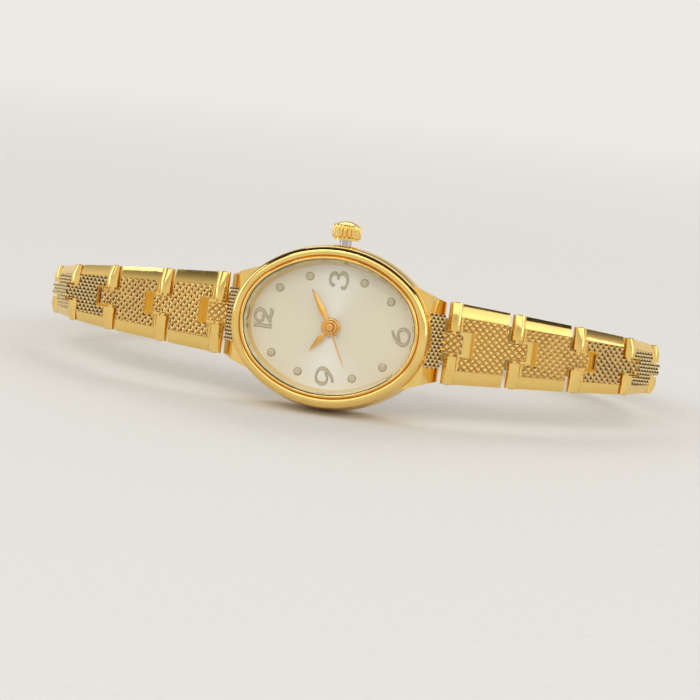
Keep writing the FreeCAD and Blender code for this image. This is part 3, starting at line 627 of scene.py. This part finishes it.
def make_bezel():
    thin_ring_end = glass_ledge + thin_ring_width
    groove_end = thin_ring_end + groove_width
    section = [(0, 0), (rehaut_lean, rehaut_height), (glass_ledge, rehaut_height)]
    section += bowed((glass_ledge, ring_shoulder), (thin_ring_end, ring_shoulder), thin_ring_crown, 10)
    section += [(thin_ring_end + groove_width / 2, ring_shoulder - groove_depth)]
    section += bowed((groove_end, ring_shoulder), (bezel_width, broad_ring_edge), broad_ring_rise, 18)
    section += [(bezel_width, bezel_seat), (wall_offset, bezel_seat), (wall_offset, 0)]
    drawing = bmesh.new()
    run_round(drawing, section)
    finish_piece("bezel_rings", drawing, head_place, "head", gold, ["bezel"])


def make_case_band():
    step = wall_offset + back_flange
    rim = bezel_width - case_rim_draw_in
    section = bowed((bezel_width, bezel_seat), (rim, case_rim_level), belt_rise, 24)
    section += [(step, case_rim_level), (step, case_rim_level + back_step),
                (wall_offset, case_rim_level + back_step), (wall_offset, bezel_seat)]
    drawing = bmesh.new()
    run_round(drawing, section)
    finish_piece("case_band", drawing, head_place, "head", gold, ["case_body"])


def lug_frame(side):
    """The head's axes, turned half round for the lug at twelve."""
    return head_place @ Matrix.Rotation(0 if side == "six" else math.pi, 4, "Z")


def tongue_outline():
    """The side view of a tongue past the end of its link, with its knuckle round the next pin."""
    knuckle = rail_crest + knuckle_margin
    points = [(body_end - link_wall, link_back + 0.1)]
    for turn in range(-90, -9, 16):
        angle = math.radians(turn)
        points.append((pitch + knuckle * math.cos(angle), knuckle * math.sin(angle)))
    under = knurl_base - tongue_thickness
    return points + [(pitch + knuckle, under), (pitch + tongue_reach, under),
                     (pitch + tongue_reach, knurl_base), (body_end - link_wall, knurl_base)]


def draw_tongue(drawing, width, shift_x=0.0, shift_z=0.0):
    half = width * tongue_share / 2
    rows = []
    for y in (-half, half):
        rows.append([(x + shift_x, y, z + shift_z) for x, z in tongue_outline()])
    skin(drawing, rows, ends_close=True)


def make_lug(side):
    """A lug that grows out of the case band and narrows to the first hinge."""
    end_top = pin_level + rail_crest
    corner = Vector((lug_end, band_width / 2))
    root_in = (wall_offset + bezel_width) / 2
    upper = [(spot + away * bezel_width, away) for spot, away in outline
             if spot.x > 0 and spot.y > 0]
    touch = min(upper, key=lambda pair: abs((corner - pair[0]).dot(pair[1])))[0]
    drawing = bmesh.new()
    rows = []
    for spot, away in sorted(outline, key=lambda pair: pair[0].y):
        root = spot + away * root_in
        if root.x > 0 and abs(root.y) < touch.y - lug_clearance:
            end_y = root.y / touch.y * corner.y
            belt_y = root.y + (end_y - root.y) * max(0, lug_top - root.x) / (lug_end - root.x)
            belt_x = max(lug_top, root.x + lug_clearance)
            rows.append([(root.x, root.y, lug_floor), (lug_end, end_y, lug_floor),
                         (lug_end, end_y, end_top), (belt_x, belt_y, lug_root_level),
                         (root.x, root.y, lug_root_level)])
    skin(drawing, rows, ends_close=True)
    draw_tongue(drawing, band_width, pin_spot_in_head - pitch, pin_level)
    lug = finish_piece(f"lug_at_{side}", drawing, lug_frame(side), "head", gold)
    soften_edges(lug, lug_edge_round)


pin_spot_in_head = (head_place.inverted() @ pin_spot("right_hinge_1")).x / MM


def make_lug_knurl(side):
    half = band_width * crest_share / 2
    top = Vector((lug_top, 0, lug_root_level))
    foot = Vector((lug_end, 0, pin_level + rail_crest))
    slope = foot - top
    down = slope.normalized()
    out = down.cross(Vector((0, 1, 0)))
    tilt = place(top * MM - out * (knurl_base - knurl_sink) * MM, down, Vector((0, 1, 0)), out)
    drawing = bmesh.new()
    lay_knurl(drawing, [(0, -half), (slope.length, -half), (slope.length, half), (0, half)])
    finish_piece(f"lug_knurl_at_{side}", drawing, lug_frame(side) @ tilt, "head", knurled)
    drawing = bmesh.new()
    lay_knurl(drawing, tongue_top(band_width))
    hinge = Matrix.Translation((pin_spot_in_head * MM - pitch * MM, 0, pin_level * MM))
    where = lug_frame(side) @ hinge
    finish_piece(f"lug_tongue_knurl_at_{side}", drawing, where, "head", knurled)


def make_glass():
    drawing = bmesh.new()
    rows = [oval_row(glass_edge - glass_foot_width, glass_bottom), oval_row(glass_edge, glass_bottom),
            oval_row(glass_edge, glass_top - glass_crown - glass_bevel),
            oval_row(glass_edge - glass_bevel, glass_top - glass_crown)]
    for shrink in glass_rings:
        rows.append(oval_row(0, glass_top - glass_crown * shrink ** 2, shrink))
    skin(drawing, rows, ends_close=True)
    finish_piece("domed_glass", drawing, head_place, "head", glass, ["crystal"])


def make_dial():
    drawing = bmesh.new()
    hole = [spot.normalized() * dial_hole_radius for spot, away in outline]
    skin(drawing, [oval_row(dial_edge, -dial_thickness), oval_row(dial_edge, 0),
                   [(*spot, 0) for spot in hole], [(*spot, -dial_thickness) for spot in hole]],
         rows_close=True)
    dial = finish_piece("sunray_dial", drawing, head_place, "head", dial_lacquer_painted_fan, ["dial"])
    dial.data.use_auto_texspace = False
    dial.data.texspace_location = (0, 0, 0)
    dial.data.texspace_size = (window_long_radius * MM,) * 3


def make_dots():
    drawing = bmesh.new()
    for hour in (1, 2, 4, 5, 7, 8, 10, 11):
        turn = math.radians(30 * hour)
        distance = 1 / math.hypot(math.cos(turn) / hour_track_long_radius,
                                  math.sin(turn) / hour_track_short_radius)
        dot = bmesh.new()
        lathe(dot, [(dot_radius, 0), (dot_radius - 0.05, 0.6 * dot_height),
                    (dot_radius - dot_edge_round, 0.92 * dot_height), (dot_middle, dot_height)],
              dot_steps)
        spot = (-distance * math.cos(turn), distance * math.sin(turn), 0)
        bmesh.ops.translate(dot, vec=spot, verts=dot.verts)
        add_to(drawing, dot)
    finish_piece("embossed_dots", drawing, head_place, "head", embossed, ["hour_dots"])


def add_to(drawing, patch):
    """Copies one drawing into another."""
    mesh = bpy.data.meshes.new("patch")
    patch.to_mesh(mesh)
    patch.free()
    drawing.from_mesh(mesh)
    bpy.data.meshes.remove(mesh)


# Figures as pen strokes: each point is right, up and half the stroke's width, in millimetres.
# The places were read by eye off the enlarged photograph, turned into millimetres on the dial
# by a scratch calculation and then partly changed. The widths were chosen here
six_strokes = [[(0.57, 1.02, 0.04), (0.11, 0.86, 0.07), (-0.34, 0.54, 0.1), (-0.72, 0.1, 0.15),
                (-0.88, -0.35, 0.14), (-0.62, -0.78, 0.08), (0.04, -0.95, 0.05), (0.58, -0.78, 0.08),
                (0.82, -0.35, 0.14), (0.78, 0.06, 0.12), (0.45, 0.3, 0.06), (0.02, 0.28, 0.05),
                (-0.42, 0.04, 0.05)]]
three_strokes = [[(-0.42, 0.46, 0.05), (-0.6, 0.64, 0.1), (-0.24, 0.93, 0.06), (0.1, 1.0, 0.05),
                  (0.54, 0.88, 0.08), (0.76, 0.58, 0.15), (0.66, 0.28, 0.09), (0.34, 0.12, 0.04)],
                 [(0.1, 0.12, 0.04), (0.5, 0.05, 0.06), (0.86, -0.26, 0.13), (0.82, -0.58, 0.15),
                  (0.46, -0.88, 0.08), (0.03, -0.96, 0.05), (-0.44, -0.9, 0.06), (-0.76, -0.7, 0.1),
                  (-0.78, -0.47, 0.07), (-0.59, -0.36, 0.04)]]
twelve_strokes = [[(-1.04, 0.7, 0.03), (-0.82, 0.92, 0.06)],
                  [(-0.8, 0.94, 0.12), (-0.8, 0.3, 0.13), (-0.8, -0.9, 0.13)],
                  [(-1.08, -0.95, 0.04), (-0.5, -0.95, 0.04)],
                  [(0.4, 0.12, 0.05), (0.11, 0.0, 0.07), (-0.24, 0.12, 0.09), (-0.38, 0.42, 0.08),
                   (-0.2, 0.78, 0.06), (0.18, 0.95, 0.05), (0.66, 0.86, 0.08), (0.94, 0.54, 0.15),
                   (0.86, 0.14, 0.12), (0.5, -0.22, 0.07), (0.05, -0.52, 0.05), (-0.36, -0.92, 0.05)],
                  [(-0.36, -0.92, 0.05), (0.05, -0.74, 0.1), (0.5, -0.84, 0.12), (0.92, -0.94, 0.07),
                   (1.12, -0.66, 0.04)]]
figures = {"twelve": (-7.72, 0.0, 1, twelve_strokes), "three": (0.2, 5.25, 1, three_strokes),
           "six": (7.9, 0.0, 1, six_strokes), "nine": (0.0, -5.5, -1, six_strokes)}


def draw_stroke(drawing, points, x, y, way):
    """A raised pen stroke with sloping flanks. The figures' tops point towards twelve."""
    path = smooth_path(points)
    rows = []
    for index, (right, up, half) in enumerate(path):
        before = path[max(index - 1, 0)]
        after = path[min(index + 1, len(path) - 1)]
        run = Vector((after[0] - before[0], after[1] - before[1])).normalized()
        side = Vector((-run.y, run.x))
        row = []
        for out, level in ((-half - figure_slope, 0), (-half, figure_height), (half, figure_height),
                           (half + figure_slope, 0)):
            spot = (Vector((right, up)) + side * out) * way
            row.append((x - spot.y, y + spot.x, level))
        rows.append(row)
    skin(drawing, rows, ends_close=True)


def make_figure(name):
    x, y, way, strokes = figures[name]
    drawing = bmesh.new()
    for points in strokes:
        draw_stroke(drawing, points, x, y, way)
    finish_piece(f"figure_{name}", drawing, head_place, "head", embossed)


# Hands and crown

def hand_place(node):
    """The head's axes turned so that x runs along a hand, and how far the hand reaches."""
    tip = max((head_place.inverted() @ corner.co for corner in nodes[node].data.vertices),
              key=lambda corner: corner.xy.length)
    levels = [(head_place.inverted() @ corner.co).z / MM for corner in nodes[node].data.vertices]
    turn = math.atan2(tip.y, tip.x)
    return head_place @ Matrix.Rotation(turn, 4, "Z"), tip.xy.length / MM, min(levels)


def draw_leaf(drawing, length, widest, hub_radius, level):
    """A slim leaf with a ridge down its middle."""
    shoulder = hub_radius + (length - hub_radius) * leaf_shoulder_share
    rows = []
    for x, half, ridge in ((0, 0.42 * widest, 0.6), (hub_radius, 0.45 * widest, 0.7),
                           (shoulder, widest, 1.0), (length - 0.2, 0.24 * widest, 0.8),
                           (length, leaf_tip, 0.5)):
        flank = level + 0.3 * hand_thickness
        rows.append([(x, -half, level), (x, half, level), (x, half, flank),
                     (x, 0, level + ridge * hand_thickness), (x, -half, flank)])
    skin(drawing, rows, ends_close=True)


def draw_hub(drawing, outer, inner, level, height):
    """A turned ring with a rounded back."""
    shoulder = level + 0.35 * height
    back = bowed((inner, shoulder), (outer, shoulder), 0.65 * height, 10)
    lathe(drawing, [(inner, level), *back, (outer, level)])


def make_hour_and_minute_hands():
    hands = (("hour_hand", "hours_set", hour_hub_radius, hour_hub_bore),
             ("minute_hand", "minutes_set", minute_hub_radius, minute_hub_bore))
    for node, body, hub, bore in hands:
        where, length, level = hand_place(node)
        drawing = bmesh.new()
        draw_leaf(drawing, length, hand_half_width, hub, level)
        draw_hub(drawing, hub, bore, level, hand_thickness)
        finish_piece(f"leaf_{node}", drawing, where, body, hand_gilt, [node])


def make_second_hand():
    where, length, level = hand_place("second_hand")
    drawing = bmesh.new()
    rows = []
    for x, half in ((-second_hand_tail, second_half_width), (0.6 * length, 0.9 * second_half_width),
                    (length, second_hand_tip)):
        rows.append([(x, -half, level), (x, half, level), (x, 0.5 * half, level + hand_thickness),
                     (x, -0.5 * half, level + hand_thickness)])
    skin(drawing, rows, ends_close=True)
    lathe(drawing, [(0.42, level), (0.42, level + 0.17), (0.37, level + 0.25), (0.28, level + 0.28),
                    (0.16, level + 0.27), (0.12, level + 0.18)], 40)
    finish_piece("slim_second_hand", drawing, where, "seconds_set", hand_gilt, ["second_hand"])


def make_crown():
    """A domed crown with rounded ridges, sized from the CAD crown."""
    spot = pin_spot("crown_turn")
    start, end = (value / MM for value in reach("crown", spot, towards_three))
    radius = max((corner.co - spot).cross(towards_three).length
                 for corner in nodes["crown"].data.vertices) / MM
    neck = radius - crown_collar_inset
    rows = [(neck, start, 0), (neck, start + crown_collar, 0),
            (radius - crown_edge_inset, start + crown_collar + 0.02, 0.6),
            (radius, start + crown_collar + crown_edge_width, 1)]
    band_end = end - crown_dome
    rows += [(radius, band_end - crown_rim_width, 1),
             (radius - crown_rim_inset, band_end - 0.02, 0.7)]
    for share in (0.0, 0.2, 0.4, 0.6, 0.8, 0.95):
        dome_radius = (radius - crown_edge_width) * math.sqrt(1 - share)
        rows.append((dome_radius, band_end + crown_dome * share, 0))
    drawing = bmesh.new()
    skin(drawing, [fluted_ring(*row) for row in rows], ends_close=True)
    along = towards_three.orthogonal().normalized()
    where = place(spot, along, towards_three.cross(along), towards_three)
    finish_piece("fluted_crown", drawing, where, "crown_and_stem", gold, ["crown"])


def fluted_ring(radius, level, depth):
    """A ring with round ridges and narrow grooves between them."""
    points = []
    steps = crown_flutes * 10
    for step in range(steps):
        turn = math.tau * step / steps
        groove = abs(math.cos(turn * crown_flutes / 2)) ** 4
        reach_out = radius - depth * flute_depth * groove
        points.append((reach_out * math.cos(turn), reach_out * math.sin(turn), level))
    return points


# Bracelet

def lay_knurl(drawing, region):
    """Blunt pyramids on a diagonal grid over a convex region, cut off cleanly at its edges."""
    patch = bmesh.new()
    half = knurl_diagonal / 2
    xs = [x for x, y in region]
    ys = [y for x, y in region]
    for column in range(math.floor(min(xs) / half) - 1, math.ceil(max(xs) / half) + 2):
        for line in range(math.floor(min(ys) / half) - 1, math.ceil(max(ys) / half) + 2):
            if (column + line) % 2 == 0:
                draw_pyramid(patch, column * half, line * half, half)
    prism(patch, region, knurl_base - knurl_plate, knurl_base)
    for here, there in zip(region, region[1:] + region[:1]):
        edge = Vector(there) - Vector(here)
        whole = patch.verts[:] + patch.edges[:] + patch.faces[:]
        cut = bmesh.ops.bisect_plane(patch, geom=whole, plane_co=(*here, 0),
                                     plane_no=(edge.y, -edge.x, 0), clear_outer=True)
        rims = [part for part in cut["geom_cut"]
                if isinstance(part, bmesh.types.BMEdge) and part.is_boundary]
        bmesh.ops.edgeloop_fill(patch, edges=rims)
    add_to(drawing, patch)


def draw_pyramid(drawing, x, y, half):
    rows = []
    for share, level in ((knurl_foot_share, knurl_base - knurl_sink), (knurl_top_share, knurl_tip)):
        size = half * share
        rows.append([(x + size, y, level), (x, y + size, level), (x - size, y, level),
                     (x, y - size, level)])
    skin(drawing, rows, ends_close=True)


def tongue_top(width):
    half = width * tongue_share / 2 - knurl_margin
    return [(body_end, -half), (pitch + tongue_reach - knurl_margin, -half),
            (pitch + tongue_reach - knurl_margin, half), (body_end, half)]


def draw_lip(drawing, half, side):
    """One of the two rounded lips that roll over the link's pin."""
    notch = half * notch_share
    crest = half * crest_share
    rows = []
    for y, limit in ((notch, lip_radius), (crest, lip_radius), (half, lip_edge)):
        row = []
        for x, z, _ in ring_points(lip_radius, 0, 36):
            row.append((x, side * y, z * limit / lip_radius if z > 0 else z))
        rows.append(row)
    skin(drawing, rows, ends_close=True)
    head = [(pin_radius, 0), (pin_radius, pin_head_height), (pin_radius - pin_head_round, 0.08)]
    rows = [[(x, side * (half + z), y) for x, y, z in ring_points(radius, level, 24)]
            for radius, level in head]
    skin(drawing, rows, ends_close=True)


def draw_pin(drawing, half):
    length = half * notch_share + pin_past_notch
    rows = [[(x, y, z) for x, z, _ in ring_points(pin_radius, 0, 24)] for y in (-length, length)]
    skin(drawing, rows, ends_close=True)


def link_shell(near_width, far_width):
    """A folded link: knurl bed, two polished rails, side walls, lips, pin and tongue."""
    near = near_width / 2
    slope = (far_width - near_width) / 2 / pitch

    def half_at(x):
        return near + slope * x

    def crest_at(x):
        return half_at(x) * crest_share

    def inside_at(x):
        return half_at(x) - link_wall

    notch = near * notch_share
    wall_end = notch_reach + link_wall
    floor_start = lip_radius + floor_setback
    drawing = bmesh.new()
    cut_out = [(0, notch), (notch_reach, notch), (notch_reach, -notch), (0, -notch)]
    bed = [(0, -crest_at(0)), (body_end, -crest_at(body_end)), (body_end, crest_at(body_end)),
           (0, crest_at(0)), *cut_out]
    prism(drawing, bed, pocket_roof, knurl_base)
    block_plan = [(0, -inside_at(0)), (wall_end, -inside_at(wall_end)),
                  (wall_end, inside_at(wall_end)), (0, inside_at(0)), *cut_out]
    prism(drawing, block_plan, link_back, pocket_roof)
    block(drawing, floor_start, notch_reach, -notch, notch, link_back, link_back + pocket_roof)
    end_half = inside_at(body_end)
    block(drawing, body_end - link_wall, body_end, -end_half, end_half, link_back, pocket_roof)
    for side in (-1, 1):
        rows = []
        for x in (0, body_end):
            half, crest, inside = half_at(x), crest_at(x), inside_at(x)
            section = [(half, link_back), (inside, link_back), (inside, pocket_roof), (crest, pocket_roof),
                       *bowed((crest, rail_crest), (half, rail_edge), rail_crown, 6)]
            rows.append([(x, side * y, z) for y, z in section])
        skin(drawing, rows, ends_close=True)
        draw_lip(drawing, near, side)
    draw_pin(drawing, near)
    draw_tongue(drawing, far_width)
    return drawing


def link_knurl(near_width, far_width):
    """The knurled bed of a link, either side of its notch, and the top of its tongue."""
    near = near_width / 2
    slope = (far_width - near_width) / 2 / pitch
    notch = near * notch_share + knurl_margin
    start = lip_radius + pad_setback

    def crest_at(x):
        return (near + slope * x) * crest_share - knurl_margin

    drawing = bmesh.new()
    reach_x = notch_reach + knurl_margin
    lay_knurl(drawing, [(reach_x, -crest_at(reach_x)), (body_end, -crest_at(body_end)),
                        (body_end, crest_at(body_end)), (reach_x, crest_at(reach_x))])
    lay_knurl(drawing, [(start, notch), (reach_x, notch), (reach_x, crest_at(reach_x)),
                        (start, crest_at(start))])
    lay_knurl(drawing, [(start, -crest_at(start)), (reach_x, -crest_at(reach_x)),
                        (reach_x, -notch), (start, -notch)])
    lay_knurl(drawing, tongue_top(far_width))
    return drawing


def make_bracelet():
    for side in ("right", "left"):
        for index, where in enumerate(link_places(side)):
            node = f"{side}_link_{index + 1}"
            body = f"{node}_body"
            widths = width_at(index), width_at(index + 1)
            drawing = link_shell(*widths)
            shell = finish_piece(f"{node}_shell", drawing, where, body, gold, [node])
            soften_edges(shell, link_edge_round)
            finish_piece(f"{node}_knurl", link_knurl(*widths), where, body, knurled)


# CAD pieces that keep their shape

def dress_cad_nodes():
    finishes = {"gold": gold, "crystal": glass, "gasket": nitrile_rubber(), "steel": steel,
                "dial": dial_lacquer_painted_fan, "nickel": nickel_plated_plate(), "holder": moulded_acetal(),
                "copper": enamelled_copper_wire(), "soft_iron": soft_iron(),
                "board": solder_mask_board(), "can": drawn_nickel_can(),
                "rotor": sintered_magnet(), "brass": cut_brass()}
    slots = {row["node"]: row["material_slot"] for row in frame["record"]["subparts"]}
    for name, node in nodes.items():
        node.material_slots[0].material = finishes[slots[name]]
    nodes["case_back"].material_slots[0].material = brushed_steel()
    nodes["crystal_gasket"].material_slots[0].material = milky_nylon()
    for name in ("clasp_frame", "clasp_lever", "clasp_tongue"):
        weld = nodes[name].modifiers.new("joined_faces", "WELD")
        weld.merge_threshold = 0.001 * MM
        soften_edges(nodes[name], link_edge_round)


# Studio

backdrop_tone = "#EDEAE4"
ceiling_tone = "#3E3B37"
soft_light_strength = 0.64
camera_lens = 120.4
camera_turn = 8.4
camera_rise = 1.0
camera_roll = 7.65
camera_aside = 2.09
camera_down = 2.52
camera_distance = 261.1


def seen_directly(tree):
    """One for rays from the camera, off metal and through glass, and nought for the light itself."""
    path = add_node(tree, "ShaderNodeLightPath", {})
    share = path.outputs["Is Camera Ray"]
    for name in ("Is Glossy Ray", "Is Transmission Ray"):
        either = add_node(tree, "ShaderNodeMath", {0: share, 1: path.outputs[name]},
                          operation="MAXIMUM")
        share = either.outputs[0]
    return share


def make_world():
    """A pale backdrop that darkens overhead, as a studio's ceiling does."""
    world = bpy.data.worlds.new("studio")
    bpy.context.scene.world = world
    world.use_nodes = True
    tree = world.node_tree
    direction = add_node(tree, "ShaderNodeTexCoord", {})
    height = add_node(tree, "ShaderNodeSeparateXYZ", {0: direction.outputs["Generated"]})
    rise = add_node(tree, "ShaderNodeMapRange", {"Value": height.outputs[2], 1: 0.12, 2: 0.75},
                    interpolation_type="SMOOTHSTEP")
    tone = add_node(tree, "ShaderNodeMix",
                    {0: rise.outputs[0], 6: linear(backdrop_tone), 7: linear(ceiling_tone)}, data_type="RGBA")
    seen = add_node(tree, "ShaderNodeBackground", {"Color": tone.outputs[2], "Strength": 1.0})
    light = add_node(tree, "ShaderNodeBackground",
                     {"Color": linear("#FFFFFF"), "Strength": soft_light_strength})
    mixed = add_node(tree, "ShaderNodeMixShader",
                     {0: seen_directly(tree), 1: light.outputs[0], 2: seen.outputs[0]})
    wire(tree, tree.nodes["World Output"], {"Surface": mixed.outputs[0]})


def floor_material():
    # Matt pale studio card, which fades into the backdrop from 0.1 to 0.5 m from the watch
    material, tree, shader, spot = start_material("studio_card")
    fibre = add_node(tree, "ShaderNodeTexNoise",
                     {"Vector": spot, "Scale": 1 / (0.9 * MM), "Detail": 4.0})
    tone = add_node(tree, "ShaderNodeMix",
                    {0: fibre.outputs[0], 6: linear("#E2DFD9"), 7: linear("#DAD7D0")}, data_type="RGBA")
    wire(tree, shader, {"Base Color": tone.outputs[2]})
    shader.inputs["Roughness"].default_value = 0.7
    shader.inputs["Specular IOR Level"].default_value = 0.2
    length = add_node(tree, "ShaderNodeVectorMath", {0: spot}, operation="LENGTH")
    far = add_node(tree, "ShaderNodeMapRange", {"Value": length.outputs["Value"], 1: 0.1, 2: 0.5},
                   interpolation_type="SMOOTHSTEP")
    glow = add_node(tree, "ShaderNodeEmission",
                    {"Color": linear(backdrop_tone), "Strength": seen_directly(tree)})
    mixed = add_node(tree, "ShaderNodeMixShader",
                     {0: far.outputs[0], 1: shader.outputs[0], 2: glow.outputs[0]})
    wire(tree, tree.nodes["Material Output"], {"Surface": mixed.outputs[0]})
    return material


def make_floor():
    drawing = bmesh.new()
    bmesh.ops.create_grid(drawing, x_segments=1, y_segments=1, size=60)
    mesh = bpy.data.meshes.new("studio_floor")
    drawing.to_mesh(mesh)
    drawing.free()
    mesh.materials.append(floor_material())
    floor = bpy.data.objects.new("studio_floor", mesh)
    bpy.context.scene.collection.objects.link(floor)
    floor.location.z = cad_low.z - 0.02 * MM


def softbox(name, spot, aim, width, height, watts):
    lamp = bpy.data.lights.new(name, "AREA")
    lamp.shape = "RECTANGLE"
    lamp.size = width
    lamp.size_y = height
    lamp.energy = watts
    box = bpy.data.objects.new(name, lamp)
    bpy.context.scene.collection.objects.link(box)
    box.location = spot
    box.rotation_euler = (Vector(aim) - Vector(spot)).to_track_quat("-Z", "Y").to_euler()


def make_lamps():
    watch = (0, -0.01, 0.01)
    softbox("key_softbox", (0.08, -0.48, 0.38), watch, 1.1, 0.28, 1.2)
    softbox("sparkle_strip", (-0.16, -0.42, 0.5), watch, 0.34, 0.05, 0.3)
    softbox("right_strip", (0.5, -0.12, 0.26), watch, 0.16, 0.4, 0.5)
    softbox("left_strip", (-0.5, -0.1, 0.24), watch, 0.16, 0.4, 0.5)
    softbox("rim_softbox", (0.05, 0.36, 0.42), watch, 0.6, 0.2, 0.7)


def make_camera():
    """At the photograph's viewing angle."""
    lens = bpy.data.cameras.new("camera")
    lens.lens = camera_lens
    lens.clip_start = 0.01
    camera = bpy.data.objects.new("camera", lens)
    bpy.context.scene.collection.objects.link(camera)
    turn = Matrix.Rotation(math.radians(camera_turn), 4, "Y")
    rise = Matrix.Rotation(math.radians(-camera_rise), 4, "X")
    roll = Matrix.Rotation(math.radians(camera_roll), 4, "Z")
    stand = Matrix.Translation(Vector((camera_aside, -camera_down, camera_distance)) * MM)
    camera.matrix_world = head_place @ turn @ rise @ roll @ stand
    bpy.context.scene.camera = camera


make_bezel()
make_case_band()
for lug_side in ("twelve", "six"):
    make_lug(lug_side)
    make_lug_knurl(lug_side)
make_glass()
make_dial()
make_dots()
for figure in figures:
    make_figure(figure)
make_hour_and_minute_hands()
make_second_hand()
make_crown()
make_bracelet()
dress_cad_nodes()
make_world()
make_floor()
make_lamps()
make_camera()
bpy.context.scene.view_settings.view_transform = "Standard"
